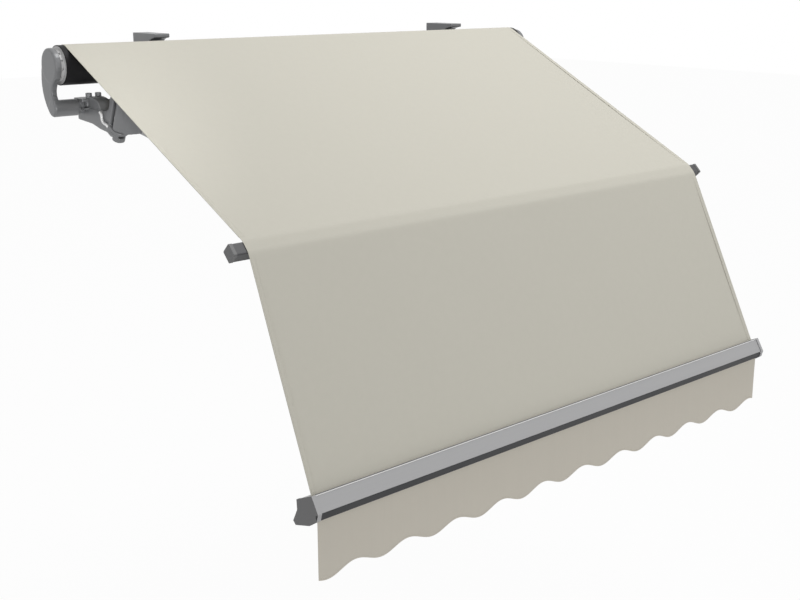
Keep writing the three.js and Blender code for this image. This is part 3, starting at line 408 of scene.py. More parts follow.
# %% Finishes of the cloth
WEAVE = {"Threads_per_metre": 1400.0}
WOVEN = {"dusting": 0.03, "on_uv": True, "Sheen_Weight": 0.08, "Specular_IOR_Level": 0.25}
awning_cloth = finish(
    "awning_cloth", linear(210, 207, 195), 0.9, 0.0, weave, WEAVE, (0.25, 0.0003), **WOVEN,
)
# A paler copy of the cloth's finish: painted light on the hanging valance.
valance_cloth_painted_light = finish(
    "valance_cloth_painted_light", linear(224, 218, 205), 0.9, 0.0, weave, WEAVE, (0.25, 0.0003), **WOVEN,
)
seam_thread = finish(
    "seam_thread", linear(220, 217, 206), 0.8, 0.0, peel,
    {"Grain_per_metre": 4000.0, "Unevenness": 0.05}, (0.3, 0.0002), dusting=0.02,
)

# %% [markdown]
# ## Dress the metal nodes
# The imported nodes keep their meshes. Only their material slots change: each slot of the record gets
# its finish from the list above. The roller's two plugs, whose crowns show, get a paler one that is
# painted light, and the crease bar a darker one that is painted shade.

# %% Finishes on the imported nodes
slot_finish = {
    "cast_grey": cast_grey,
    "bar_grey": bar_grey,
    "cap_grey": cap_grey,
    "dark_steel": dark_steel,
    "zinc_steel": zinc_steel,
    "black_plastic": black_plastic,
    "awning_cloth": awning_cloth,
}
node_slot = {part["node"]: part["material_slot"] for part in frame["record"]["subparts"]}
bodies = frame["record"]["behaviour"]["bodies"]
node_body = {node: body for body, names in bodies.items() for node in names}
# The plugs' paler finish is painted light, and the crease bar's darker one is painted shade.
own_finish = {
    "roller_plug_left": crown_grey_painted_light,
    "roller_plug_right": crown_grey_painted_light,
    "crease_bar": shade_grey,
}
for name, node in nodes.items():
    for place in node.material_slots:
        place.material = own_finish.get(name, slot_finish[node_slot[name]])
print("dressed", len(nodes), "nodes in", len(slot_finish), "finishes")

# %% [markdown]
# ## Soft edges on the castings
# A casting has no sharp edge: metal flows round every corner of the mould. Bevels need tidy edges,
# which a cut solid doesn't have, so a copy of the casting is rebuilt on a fine grid of voxels and
# smoothed. That rounds all its corners alike and leaves its holes and faces where they were.

# %% Casting recipe
MERGE_DISTANCE = 1e-6
VOXEL = 0.0024
SMOOTH_ROUNDS = 5
FACES_KEPT = 0.3


def settle(piece, name):
    """A plain mesh object with what a piece's modifiers make of it, in its place."""
    evaluated = piece.evaluated_get(bpy.context.evaluated_depsgraph_get())
    mesh = bpy.data.meshes.new_from_object(evaluated)
    bpy.data.objects.remove(piece)
    return add(name, mesh)


def thicken(piece, thickness):
    """Gives a sheet this thickness, half on either side."""
    body = piece.modifiers.new("thickness", "SOLIDIFY")
    body.thickness = thickness
    body.offset = 0


def soft_casting(node):
    """Replaces a cast node by a copy with rounded corners."""
    mesh = nodes[node].data.copy()
    work = bmesh.new()
    work.from_mesh(mesh)
    bmesh.ops.remove_doubles(work, verts=work.verts, dist=MERGE_DISTANCE)
    work.to_mesh(mesh)
    work.free()
    piece = add(node + "_work", mesh)
    grid = piece.modifiers.new("grid", "REMESH")
    grid.mode = "VOXEL"
    grid.voxel_size = VOXEL
    soften = piece.modifiers.new("soften", "SMOOTH")
    soften.factor = 0.5
    soften.iterations = SMOOTH_ROUNDS
    thin = piece.modifiers.new("thin", "DECIMATE")
    thin.ratio = FACES_KEPT
    result = settle(piece, node + "_cast")
    result.data.shade_smooth()
    result.data.materials.clear()
    result.data.materials.append(slot_finish[node_slot[node]])
    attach(result, node_body[node])
    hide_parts(node)
    return result


# %% Soften the castings
CASTINGS = (
    "roller_end_bracket", "wall_bracket", "bracket_jaw", "shoulder", "shoulder_cap",
    "upper_arm_root", "upper_arm_end", "forearm_root", "forearm_end", "elbow_block", "front_foot",
)
castings = [soft_casting(f"{name}_{side}") for name in CASTINGS for side in SIDES]
print("castings:", len(castings), "faces:", sum(len(c.data.polygons) for c in castings))

# %% [markdown]
# ## Trims along the front bar
# An outline on the end of the bar, drawn out along X, makes a strip. A dark strip of painted shade fills
# the groove under the face, a pale bead with a painted highlight rounds the face's top edge with a line
# of painted shadow over it, and a pale lip closes each end. The outlines are given in millimetres, as on
# a drawing of the bar.

# %% Strip recipe
FRONT_END = 1.2163
FRONT_TRIM_START = 1.2010


def along_bar(down, height):
    """A place on the bar's section, in millimetres down the slope and over the cloth, as (y, z)."""
    return on_slope(front_line, LOWER_SLOPE, down / 1000, height / 1000)


def strip(name, section, start, end, body, material):
    """A closed bar with this section of (y, z) points between two places along X."""
    count = len(section)
    mesh = bpy.data.meshes.new(name)
    sides = [(i, (i + 1) % count, count + (i + 1) % count, count + i) for i in range(count)]
    ends = [tuple(range(count))[::-1], tuple(range(count, 2 * count))]
    mesh.from_pydata([(x, y, z) for x in (start, end) for y, z in section], [], sides + ends)
    face_outwards(mesh)
    mesh.materials.append(material)
    piece = add(name, mesh)
    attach(piece, body)


def on_bar(outline):
    """The section of a strip from its outline on the bar's end."""
    return [along_bar(*point) for point in outline]


def round_section(centre, radius, count=12):
    """The section of a round strip."""
    y, z = centre
    turns = [2 * math.pi * i / count for i in range(count)]
    return [(y + radius * math.cos(t), z + radius * math.sin(t)) for t in turns]


# %% Trims on the front bar
# The groove strip's dark colour is painted shade under the face.
GROOVE_SHADE = [(60.4, 29.0), (80.4, 12.6), (80.9, 13.2), (60.9, 29.7)]
# The dark top line is a painted shadow where the cloth meets the bar.
TOP_SHADOW_LINE = [(-1.0, 22.4), (-1.0, 24.2), (1.9, 24.6), (1.9, 22.4)]
END_LIP = [(0.6, 25.6), (60.6, 31.8), (81.1, 14.3), (81.5, 14.8), (61.0, 32.4), (0.6, 26.2)]
# The bead's pale finish is a painted highlight on the face's top edge.
BEAD_PLACE = (3.4, 24.2)
BEAD_RADIUS = 0.0018
BEAD = round_section(along_bar(*BEAD_PLACE), BEAD_RADIUS)
TRIMS = (
    ("groove_seal", on_bar(GROOVE_SHADE), HALF_CLOTH, "black_plastic", black_plastic),
    ("slot_line", on_bar(TOP_SHADOW_LINE), HALF_CLOTH, "cap_grey", cap_grey),
    ("edge_bead", BEAD, FRONT_TRIM_START, "bar_grey", highlight_grey),
)
for name, section, half_length, slot, material in TRIMS:
    strip(name, section, -half_length, half_length, "front_bar", material)
for name, side in SIGNED_SIDES:
    strip(
        f"end_lip_{name}", on_bar(END_LIP), side * FRONT_TRIM_START, side * FRONT_END,
        "front_bar", bar_grey,
    )
print("front bar trims:", len(TRIMS) + len(SIGNED_SIDES))

# %% [markdown]
# ## Small parts of the shoulders
# Each clamp has two tall nuts on its cap, a sleeve on the bar beside it and a flange at its split. The
# outer cheek's front edge falls in an S, and a pale bead along its rim is a painted highlight. The rim's
# line is read from the imported casting: it is the foremost point of the cheek's face at each height.

# %% Nut recipe
SHOULDER_X = 1.105
BAR_Y = -0.210
NUT_Y = -0.245
NUT_SHIFT = 0.0195
NUT_RADIUS = 0.0125
NUT_EDGE = 0.0018
NUT_TOP = 0.054
CAP_TOP = 0.0343


def nut(name, x, y):
    """A hexagonal nut that stands on the clamp's cap."""
    turns = [math.pi * (i / 3 + 1 / 6) for i in range(6)]
    ring = [(x + NUT_RADIUS * math.cos(t), y + NUT_RADIUS * math.sin(t)) for t in turns]
    mesh = bpy.data.meshes.new(name)
    faces = [(i, (i + 1) % 6, 6 + (i + 1) % 6, 6 + i) for i in range(6)]
    faces += [tuple(range(6))[::-1], tuple(range(6, 12))]
    mesh.from_pydata([(a, b, z) for z in (CAP_TOP, NUT_TOP) for a, b in ring], [], faces)
    mesh.materials.append(cast_grey)
    piece = add(name, mesh)
    edge = piece.modifiers.new("edge", "BEVEL")
    edge.width = NUT_EDGE
    edge.segments = 2
    piece = settle(piece, name)
    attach(piece, "frame")


# %% Nuts, sleeves on the bar and flanges at the clamps' split
SLEEVE_HALF = 0.0235
SLEEVE_START = 1.1393
SLEEVE_END = 1.1597
FLANGE_START = 1.1385
FLANGE_END = 1.1550
FLANGE_DEPTH = (-0.268, -0.228)
FLANGE_HEIGHT = (-0.0075, -0.0015)


def box_section(y0, y1, z0, z1):
    """The section of a strip between these limits."""
    return [(y0, z0), (y1, z0), (y1, z1), (y0, z1)]


SLEEVE = box_section(BAR_Y - SLEEVE_HALF, BAR_Y + SLEEVE_HALF, -SLEEVE_HALF, SLEEVE_HALF)
FLANGE = box_section(*FLANGE_DEPTH, *FLANGE_HEIGHT)
for name, side in SIGNED_SIDES:
    for i, shift in enumerate((-NUT_SHIFT, NUT_SHIFT)):
        nut(f"clamp_nut_{name}_{i}", side * SHOULDER_X + shift, NUT_Y)
    strip(
        f"bar_sleeve_{name}", SLEEVE, side * SLEEVE_START, side * SLEEVE_END,
        "frame", cast_grey,
    )
    strip(
        f"clamp_flange_{name}", FLANGE, side * FLANGE_START, side * FLANGE_END,
        "frame", cast_grey,
    )

# %% The line of a cheek's rim
CHEEK_OUT = 0.034
ON_FACE = 0.0006
RIM_FRONT, RIM_BACK = -0.425, -0.350
RIM_FOOT, RIM_HEAD = -0.064, -0.004
LEVEL_STEP = 0.004


def rim_line(name, side):
    """The foremost point of the outer cheek's face at each height, from the top, smoothed once."""
    face_x = side * (SHOULDER_X + CHEEK_OUT)
    foremost = {}
    for vertex in nodes[f"shoulder_{name}"].data.vertices:
        x, y, z = vertex.co
        if abs(x - face_x) < ON_FACE and RIM_FRONT < y < RIM_BACK and RIM_FOOT < z < RIM_HEAD:
            level = round(z / LEVEL_STEP)
            if level not in foremost or y < foremost[level][1]:
                foremost[level] = (x, y, z)
    rough = np.array([foremost[level] for level in sorted(foremost, reverse=True)])
    padded = np.vstack([rough[:1], rough, rough[-1:]])
    return (padded[:-2] + 2 * padded[1:-1] + padded[2:]) / 4


# %% Painted highlights along the cheeks' rims
RIM_RADIUS = 0.0055


def cheek_highlight_rim(name, side):
    """A thin round bead along the S of the outer cheek, whose pale finish is a painted highlight; gives
    how many points its line has.
    """
    line = rim_line(name, side)
    curve = lines_curve(f"cheek_rim_{name}", [line])
    curve.bevel_depth = RIM_RADIUS
    curve.bevel_resolution = 2
    curve.use_fill_caps = True
    curve.materials.append(highlight_grey)
    piece = settle(add(curve.name + "_work", curve), curve.name)
    piece.data.shade_smooth()
    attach(piece, "frame")
    return len(line)


print("rim points:", [cheek_highlight_rim(name, side) for name, side in SIGNED_SIDES])

# %% [markdown]
# ## The cloth
# Awning cloth is woven stiff and stretched by the arms' springs, so it lies almost flat, with a slight
# sag between its two lines of support. A cloth simulation would stretch or flutter it; here a grid
# follows the cloth's path, and a little sag and a few long waves are added in code. The path turns
# round the roller, runs down the upper slope, bends over two corners of the crease bar and falls to
# the front bar. It is made in four stretches: one on the roller, one on each slope and one over the
# crease bar.

# %% Helpers for paths


def rounded(points, radius, steps=5):
    """A line through points with a short arc in place of each inner corner."""
    path = [np.array(points[0], float)]
    for before, here, after in zip(points, points[1:], points[2:]):
        here = np.array(here, float)
        back = np.array(before) - here
        ahead = np.array(after) - here
        back /= np.linalg.norm(back)
        ahead /= np.linalg.norm(ahead)
        for i in range(steps + 1):
            t = i / steps
            start, end = here + back * radius, here + ahead * radius
            path.append((1 - t) ** 2 * start + 2 * t * (1 - t) * here + t ** 2 * end)
    path.append(np.array(points[-1], float))
    return np.array(path)


def resample(path, step):
    """The same line with points about one step apart, keeping its own points."""
    out = [path[0]]
    for a, b in zip(path[:-1], path[1:]):
        pieces = max(1, round(np.linalg.norm(b - a) / step))
        out += [a + (b - a) * (i + 1) / pieces for i in range(pieces)]
    return np.array(out)


def short_of(point, towards, distance):
    """The place this far from a point on the way to another."""
    way = np.array(towards) - np.array(point)
    return tuple(np.array(point) + way / np.linalg.norm(way) * distance)


def lengths_along(path):
    """How far down the path each of its points lies."""
    return np.concatenate([[0], np.cumsum(np.linalg.norm(np.diff(path, axis=0), axis=1))])


def roller_arc(radius, steps=8):
    """Where the cloth lies on the roller, from the inside of the turn to where it leaves."""
    leave = math.pi / 2 + UPPER_SLOPE
    angles = [leave - ROLLER_WRAP * (1 - i / steps) for i in range(steps + 1)]
    y, z = ROLLER_AXIS
    return [(y + radius * math.cos(a), z + radius * math.sin(a)) for a in angles]


# %% Paths of the cloth
CORNER_RADIUS = 0.009
BESIDE_CORNER = CORNER_RADIUS + 0.012
CREASE_LIFT = 0.0012
FRONT_SLOT = 0.016
PATH_STEP = 0.020
bar_top = CREASE_SIDE / 2 + SEAT_GAP + CLOTH_LIFT + CREASE_LIFT
corner_up = on_slope(crease_centre, CREASE_TURN, -CREASE_SIDE / 2, bar_top)
corner_down = on_slope(crease_centre, CREASE_TURN, CREASE_SIDE / 2, bar_top)
cloth_end = on_slope(front_line, LOWER_SLOPE, FRONT_SLOT, 0)
wrap_path = np.array(roller_arc(CLOTH_RADIUS + CLOTH_LIFT))
upper_end = short_of(corner_up, wrap_path[-1], BESIDE_CORNER)
lower_start = short_of(corner_down, cloth_end, BESIDE_CORNER)
upper_path = resample(np.array([wrap_path[-1], upper_end]), PATH_STEP)
bend = rounded([upper_end, corner_up, corner_down, lower_start], CORNER_RADIUS)
crease_path = resample(bend, PATH_STEP)
lower_path = resample(np.array([lower_start, cloth_end]), PATH_STEP)
wrap_flat, upper_flat, crease_flat, lower_flat = [
    lengths_along(path)[-1] for path in (wrap_path, upper_path, crease_path, lower_path)
]
print("cloth lengths:", [round(v, 4) for v in (wrap_flat, upper_flat, crease_flat, lower_flat)])

# %% Shape of the stretched cloth
NECK = 0.024
SAG = 0.005
EDGE_SAG = 0.35
WAVE = 0.0012
# Each wave has a height and turns at one rate across the cloth and at another down it.
WAVES = ((WAVE, 5.3, 2.1), (0.6 * WAVE, 11.7, -3.9))
COLUMNS = 121
SHARP_ANGLE = math.radians(40)


def sheet_mesh(name, points, uvs, rows, columns):
    """A grid mesh from rows of points, with its flat pattern as the UV map."""
    faces = [
        (r * columns + c, r * columns + c + 1, (r + 1) * columns + c + 1, (r + 1) * columns + c)
        for r in range(rows - 1) for c in range(columns - 1)
    ]
    mesh = bpy.data.meshes.new(name)
    mesh.from_pydata([tuple(p) for p in points], [], faces)
    layer = mesh.uv_layers.new(name="cut")
    for loop in mesh.loops:
        layer.data[loop.index].uv = uvs[loop.vertex_index]
    return mesh


def sag_at(share):
    """Nothing at both ends of a span and most in its middle."""
    return max(0.0, 4 * share * (1 - share))


def half_width(y, z):
    """Half the cloth's width here: its stretch draws it in, most of all at the crease."""
    span = UPPER_LENGTH if y > crease[0] else LOWER_LENGTH
    away = math.hypot(y - crease[0], z - crease[1])
    return HALF_CLOTH - NECK * max(0.0, 1 - away / span)


# %% Cloth sheet recipe


def drop_at(x, s, slack):
    """How far the cloth hangs below its path at x, this far down the stretch."""
    middle = 1 - (x / HALF_CLOTH) ** 2
    wave = sum(height * math.sin(over * x + down * s) for height, over, down in WAVES)
    return slack * (SAG * (EDGE_SAG + (1 - EDGE_SAG) * middle) + wave * middle)


def cloth_sheet(name, path, slope, uv_start, body, sags=True, stands_for=None):
    """One stretch of the cloth over the awning's width, which sags between its ends."""
    along = lengths_along(path)
    across = np.linspace(-HALF_CLOTH, HALF_CLOTH, COLUMNS)
    points, uvs = [], []
    for (y, z), s in zip(path, along):
        slack = sag_at(s / along[-1]) if sags else 0.0
        for x in across:
            py, pz = on_slope((y, z), slope, 0, -drop_at(x, s, slack))
            points.append((x * half_width(y, z) / HALF_CLOTH, py, pz))
            uvs.append((x + HALF_CLOTH, uv_start + s))
    piece = add(name, sheet_mesh(name, points, uvs, len(path), COLUMNS))
    thicken(piece, CLOTH_THICKNESS)
    piece = settle(piece, name)
    piece.data.shade_smooth()
    piece.data.set_sharp_from_angle(angle=SHARP_ANGLE)
    piece.data.materials.append(awning_cloth)
    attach(piece, body)
    if stands_for:
        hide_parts(stands_for)
    return piece


# %% The four stretches of the cloth
cloth_wrap = cloth_sheet("awning_cloth_wrap", wrap_path, UPPER_SLOPE, 0.0, "frame", sags=False)
cloth_upper = cloth_sheet(
    "awning_cloth_upper", upper_path, UPPER_SLOPE, wrap_flat, "frame", stands_for="cloth_upper",
)
cloth_crease = cloth_sheet(
    "awning_cloth_crease", crease_path, CREASE_TURN, wrap_flat + upper_flat, "crease_bar", sags=False,
)
cloth_lower = cloth_sheet(
    "awning_cloth_lower", lower_path, LOWER_SLOPE, wrap_flat + upper_flat + crease_flat, "crease_bar",
    stands_for="cloth_lower",
)
print("cloth faces:", len(cloth_upper.data.polygons), len(cloth_lower.data.polygons))

# %% [markdown]
# ## The valance
# The valance is woven like the cloth. Its finish is a little paler, which is painted light on the hanging
# strip. Its shape follows a rule: a strip whose lower edge is a cosine wave. Geometry Nodes make it from
# a grid, with the wave's pitch and depth as named inputs, and a gentle fold that grows towards the free
# edge keeps it from looking like a board.

# %% Geometry Nodes helpers


def geometry_tree(name, inputs):
    """An empty geometry tree with named inputs; gives the tree, its inputs and its output socket."""
    tree = bpy.data.node_groups.new(name, "GeometryNodeTree")
    for label, kind, value in inputs:
        socket = tree.interface.new_socket(label, in_out="INPUT", socket_type="NodeSocket" + kind)
        if value is not None:
            socket.default_value = value
    tree.interface.new_socket("Geometry", in_out="OUTPUT", socket_type="NodeSocketGeometry")
    return tree, tree.nodes.new("NodeGroupInput").outputs, tree.nodes.new("NodeGroupOutput").inputs[0]


def grow(name, tree, start, body, slot, thickness=None, **values):
    """Runs a geometry tree on a start mesh or curve and keeps the result as a plain mesh."""
    piece = add(name + "_start", start)
    modifier = piece.modifiers.new(tree.name, "NODES")
    modifier.node_group = tree
    labels = {s.name: s.identifier for s in tree.interface.items_tree if s.in_out == "INPUT"}
    for key, value in values.items():
        modifier[labels[key.replace("_", " ")]] = value
    if thickness:
        thicken(piece, thickness)
    result = settle(piece, name)
    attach(result, body)
    return result


# %% Valance tree
VALANCE_DROP = 0.225
SCALLOP_PITCH = 0.222
SCALLOP_DEPTH = 0.030
SCALLOP_START = 0.33
VALANCE_FOLD = 0.003
FOLD_RATE = 7.1
COLUMNS_WIDE = 433
ROWS_DEEP = 24
VALANCE_ALONG = 0.071
VALANCE_UNDER = 0.002
valance_top = on_slope(front_line, LOWER_SLOPE, VALANCE_ALONG, -VALANCE_UNDER)

valance_tree, given, out = geometry_tree("scalloped_strip", [
    ("Geometry", "Geometry", None), ("Width", "Float", CLOTH_WIDTH), ("Drop", "Float", VALANCE_DROP),
    ("Pitch", "Float", SCALLOP_PITCH), ("Depth", "Float", SCALLOP_DEPTH),
    ("Start", "Float", SCALLOP_START), ("Fold", "Float", VALANCE_FOLD), ("Cloth", "Material", None),
])
flat = put(valance_tree, "GeometryNodeMeshGrid", Size_X=given["Width"], Size_Y=1.0)
flat.inputs["Vertices X"].default_value = COLUMNS_WIDE
flat.inputs["Vertices Y"].default_value = ROWS_DEEP
position = put(valance_tree, "GeometryNodeInputPosition")
here = put(valance_tree, "ShaderNodeSeparateXYZ", Vector=position.outputs[0])
width_in = calc(valance_tree, "MULTIPLY_ADD", given["Width"], 0.5, here.outputs[0])
down = calc(valance_tree, "SUBTRACT", 0.5, here.outputs[1])
turns = calc(valance_tree, "ADD", calc(valance_tree, "DIVIDE", width_in, given["Pitch"]), given["Start"])
crest = calc(valance_tree, "COSINE", calc(valance_tree, "MULTIPLY", turns, 2 * math.pi))
rise = calc(valance_tree, "MULTIPLY", calc(valance_tree, "MULTIPLY_ADD", crest, 0.5, 0.5), given["Depth"])
hang = calc(valance_tree, "SUBTRACT", given["Drop"], rise)
fall = calc(valance_tree, "MULTIPLY", calc(valance_tree, "MULTIPLY", hang, down), -1.0)
ripple = calc(valance_tree, "SINE", calc(valance_tree, "MULTIPLY", width_in, FOLD_RATE))
ripple = calc(valance_tree, "MULTIPLY", ripple, calc(valance_tree, "MULTIPLY", down, down))
sway = calc(valance_tree, "MULTIPLY", ripple, given["Fold"])
place = put(valance_tree, "ShaderNodeCombineXYZ", X=here.outputs[0], Y=sway, Z=fall)
shaped = put(valance_tree, "GeometryNodeSetPosition", Geometry=flat.outputs[0], Position=place.outputs[0])
cut = put(valance_tree, "ShaderNodeCombineXYZ", X=width_in, Y=fall)
stored = put(valance_tree, "GeometryNodeStoreNamedAttribute", Geometry=shaped.outputs[0])
stored.data_type = "FLOAT2"
stored.domain = "CORNER"
stored.inputs["Name"].default_value = "cut"
valance_tree.links.new(cut.outputs[0], [s for s in stored.inputs if s.type == "VECTOR"][0])
painted = put(
    valance_tree, "GeometryNodeSetMaterial", Geometry=stored.outputs[0], Material=given["Cloth"],
)
smooth = put(valance_tree, "GeometryNodeSetShadeSmooth", Geometry=painted.outputs[0])
whole = put(valance_tree, "GeometryNodeRealizeInstances", Geometry=smooth.outputs[0])
valance_tree.links.new(whole.outputs[0], out)

# %% Hang the valance
valance = grow(
    "valance_sheet", valance_tree, bpy.data.meshes.new("valance_start"), "front_bar", "awning_cloth",
    thickness=CLOTH_THICKNESS, Width=CLOTH_WIDTH, Cloth=valance_cloth_painted_light,
)
valance.data.transform(Matrix.Translation((0, *valance_top)))
valance.data.set_sharp_from_angle(angle=SHARP_ANGLE)
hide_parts("valance")
print("valance faces:", len(valance.data.polygons))

# %% [markdown]
# ## Hems and stitches
# The cloth's side edges are folded over and sewn with two rows, and the valance's lower edge with one.
# The hems are narrow strips on the two slopes. The stitches follow a line: Geometry Nodes lay one small
# bead of thread every few millimetres along a curve, whatever the curve's shape.

# %% Stitch tree
STITCH_PITCH = 0.0045
STITCH_LENGTH = 0.0034
STITCH_WIDTH = 0.0008

stitch_tree, given, out = geometry_tree("stitch_row", [
    ("Geometry", "Geometry", None), ("Pitch", "Float", STITCH_PITCH),
    ("Stitch length", "Float", STITCH_LENGTH), ("Stitch width", "Float", STITCH_WIDTH),
    ("Thread", "Material", None),
])
walk = put(stitch_tree, "GeometryNodeCurveToPoints", Curve=given["Geometry"])
walk.mode = "LENGTH"
stitch_tree.links.new(given["Pitch"], [s for s in walk.inputs if s.identifier == "Length"][0])
bead = put(stitch_tree, "GeometryNodeMeshCylinder", Radius=0.5, Depth=1.0)
bead.inputs["Vertices"].default_value = 5
thick = put(stitch_tree, "ShaderNodeCombineXYZ",
            X=given["Stitch width"], Y=given["Stitch width"], Z=given["Stitch length"])
laid = put(stitch_tree, "GeometryNodeInstanceOnPoints",
           Points=walk.outputs["Points"], Instance=bead.outputs[0],
           Rotation=walk.outputs["Rotation"], Scale=thick.outputs[0])
real = put(stitch_tree, "GeometryNodeRealizeInstances", Geometry=laid.outputs[0])
sewn = put(stitch_tree, "GeometryNodeSetMaterial", Geometry=real.outputs[0], Material=given["Thread"])
stitch_tree.links.new(sewn.outputs[0], out)

# %% Hem strips on the side edges
HEM_WIDTH = 0.022
HEM_THICKNESS = 0.0007
HEM_PROUD = 0.0010
HEM_OVER = 0.0003


def surface_line(path, slope, side, inset, proud):
    """A line down the cloth this far inside one edge, lying this far over its middle."""
    return [
        (side * (half_width(y, z) - inset), *on_slope((y, z), slope, 0, proud))
        for y, z in path
    ]


def hem_strip(name, path, slope, side, body):
    """A thin folded strip on the cloth's top at one side edge."""
    mesh = bpy.data.meshes.new(name)
    points, faces = [], []
    for y, z in path:
        inner = side * (half_width(y, z) - HEM_WIDTH)
        outer = side * (half_width(y, z) + HEM_OVER)
        section = (
            (inner, HEM_PROUD - HEM_THICKNESS), (inner, HEM_PROUD),
            (outer, HEM_PROUD), (outer, -HEM_PROUD),
        )
        points += [(x, *on_slope((y, z), slope, 0, proud)) for x, proud in section]
    count = len(path)
    for i in range(count - 1):
        for j in range(4):
            a, b = 4 * i + j, 4 * i + (j + 1) % 4
            faces.append((a, b, b + 4, a + 4))
    faces += [(0, 1, 2, 3), tuple(4 * (count - 1) + j for j in (3, 2, 1, 0))]
    mesh.from_pydata(points, [], faces)
    face_outwards(mesh)
    layer = mesh.uv_layers.new(name="cut")
    for loop in mesh.loops:
        point = mesh.vertices[loop.vertex_index].co
        layer.data[loop.index].uv = (point.x, point.z)
    mesh.materials.append(awning_cloth)
    piece = add(name, mesh)
    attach(piece, body)
    return piece


hems_upper = [
    hem_strip(f"hem_upper_{name}", upper_path, UPPER_SLOPE, side, "frame")
    for name, side in SIGNED_SIDES
]
hems_lower = [
    hem_strip(f"hem_lower_{name}", lower_path, LOWER_SLOPE, side, "crease_bar")
    for name, side in SIGNED_SIDES
]

# %% Stitches along the hems
ROW_INSETS = (0.005, 0.018)


def stitched(name, path, slope, body):
    """Two rows of stitches down each side of one stretch of the cloth."""
    lines = [
        surface_line(path, slope, side, inset, HEM_PROUD + STITCH_WIDTH / 4)
        for side in (-1, 1) for inset in ROW_INSETS
    ]
    return grow(name, stitch_tree, lines_curve(name, lines), body, "awning_cloth", Thread=seam_thread)


stitches_upper = stitched("stitches_upper", upper_path, UPPER_SLOPE, "frame")
stitches_lower = stitched("stitches_lower", lower_path, LOWER_SLOPE, "crease_bar")
print("stitch faces:", len(stitches_upper.data.polygons), len(stitches_lower.data.polygons))

# %% Stitches along the valance's edge
EDGE_INSET = 0.006
EDGE_POINTS = 600


def valance_edge(x, inset):
    """A point near the valance's lower edge, in front of the cloth."""
    turns = (x + HALF_CLOTH) / SCALLOP_PITCH + SCALLOP_START
    drop = VALANCE_DROP - SCALLOP_DEPTH * (1 + math.cos(2 * math.pi * turns)) / 2
    sway = VALANCE_FOLD * math.sin(FOLD_RATE * (x + HALF_CLOTH))
    y, z = valance_top
    return (x, y + sway - STITCH_WIDTH, z - drop + inset)


edge_places = np.linspace(-HALF_CLOTH + EDGE_INSET, HALF_CLOTH - EDGE_INSET, EDGE_POINTS)
edge_lines = [[valance_edge(x, EDGE_INSET) for x in edge_places]]
stitches_valance = grow(
    "stitches_valance", stitch_tree, lines_curve("valance_edge", edge_lines), "front_bar",
    "awning_cloth", Thread=seam_thread,
)

# %% [markdown]
# When the arms fold, the roller winds the cloth in. Here the sheet on each slope, its hems and its
# stitches get meshes of their own.

# %% Own meshes for the sheets on the slopes
for piece in (cloth_upper, stitches_upper, *hems_upper):
    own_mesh(piece)
for piece in (cloth_lower, stitches_lower, *hems_lower):
    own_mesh(piece)

# %% [markdown]
# ## The floor, the background and the light
# The background is white to the camera and in reflections. The light on the object comes from soft
# lamps: a large one high on the right, a weak one low in front, a weak one from the left and a narrow
# one that reaches the left shoulder under the cloth. A little also comes from the world all round. The
# floor lies well below the awning, as the ground does, and keeps its shadow.

# %% World
CAMERA_WHITE = 1.0
WORLD_LIGHT = 0.54


def seen_rays(tree):
    """1 for a camera, mirror or glass ray, 0 for any other."""
    path = tree.nodes.new("ShaderNodeLightPath").outputs
    seen = calc(tree, "MAXIMUM", path["Is Camera Ray"], path["Is Glossy Ray"])
    return calc(tree, "MAXIMUM", seen, path["Is Transmission Ray"])


world = bpy.data.worlds.new("studio")
world.use_nodes = True
scene.world = world
studio = world.node_tree
background = studio.nodes["Background"]
background.inputs["Color"].default_value = (1, 1, 1, 1)
level = calc(studio, "MULTIPLY_ADD", seen_rays(studio), CAMERA_WHITE - WORLD_LIGHT, WORLD_LIGHT)
studio.links.new(level, background.inputs["Strength"])

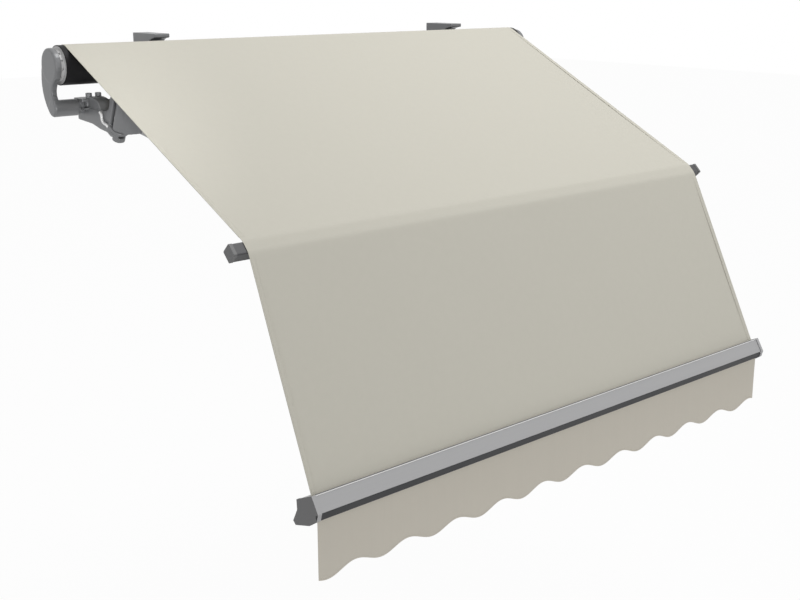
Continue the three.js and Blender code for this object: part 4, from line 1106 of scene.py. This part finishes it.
# %% Floor material
FLOOR_SHARE = 0.04
floor_material = bpy.data.materials.new("pale_floor")
floor_material.use_nodes = True
floor_tree = floor_material.node_tree
floor_shader = floor_tree.nodes["Principled BSDF"]
floor_shader.inputs["Base Color"].default_value = (0.8, 0.8, 0.8, 1)
floor_shader.inputs["Roughness"].default_value = 1.0
floor_shader.inputs["Specular IOR Level"].default_value = 0.0
glow = put(floor_tree, "ShaderNodeEmission", Strength=1.0)
blend_share = calc(floor_tree, "MULTIPLY", seen_rays(floor_tree), 1 - FLOOR_SHARE)
floor_mix = put(floor_tree, "ShaderNodeMixShader", i0=blend_share)
floor_tree.links.new(floor_shader.outputs[0], floor_mix.inputs[1])
floor_tree.links.new(glow.outputs[0], floor_mix.inputs[2])
floor_tree.links.new(floor_mix.outputs[0], floor_tree.nodes["Material Output"].inputs["Surface"])

# %% Floor
FLOOR_HEIGHT = -2.45
FLOOR_HALF = 30.0
CORNER_SIGNS = ((-1, -1), (1, -1), (1, 1), (-1, 1))
floor_corners = [(a * FLOOR_HALF, b * FLOOR_HALF, FLOOR_HEIGHT) for a, b in CORNER_SIGNS]
floor_mesh = bpy.data.meshes.new("floor")
floor_mesh.from_pydata(floor_corners, [], [(0, 1, 2, 3)])
floor_mesh.materials.append(floor_material)
floor = add("floor", floor_mesh)

# %% Lamps
LAMPS = {
    "key": {"place": (1.6, -1.9, 5.4), "aim": (0.0, -0.9, -0.4), "size": 2.5, "power": 165},
    "fill": {"place": (0.6, -6.0, 0.2), "aim": (0.0, -1.0, -0.7), "size": 3.0, "power": 8},
    "rim": {"place": (-4.0, -1.0, 3.0), "aim": (-1.0, -0.3, 0.0), "size": 1.2, "power": 5},
}


def shine(name, data, place, target):
    """Puts a lamp at a place and points it at its target."""
    light = add(name, data)
    turn = (Vector(target) - Vector(place)).to_track_quat("-Z", "Y")
    light.matrix_world = Matrix.Translation(place) @ turn.to_matrix().to_4x4()


for name, lamp in LAMPS.items():
    data = bpy.data.lights.new(name, "AREA")
    data.shape = "DISK"
    data.size = lamp["size"]
    data.energy = lamp["power"]
    shine(name, data, lamp["place"], lamp["aim"])

# %% A narrow lamp for the left shoulder
narrow = bpy.data.lights.new("shoulder", "SPOT")
narrow.energy = 130
narrow.shadow_soft_size = 0.25
narrow.spot_size = math.radians(15)
narrow.spot_blend = 0.8
shine("shoulder", narrow, (-2.1, -3.2, 0.1), (-1.12, -0.30, -0.02))

# %% Plain view settings
scene.view_settings.view_transform = "Standard"
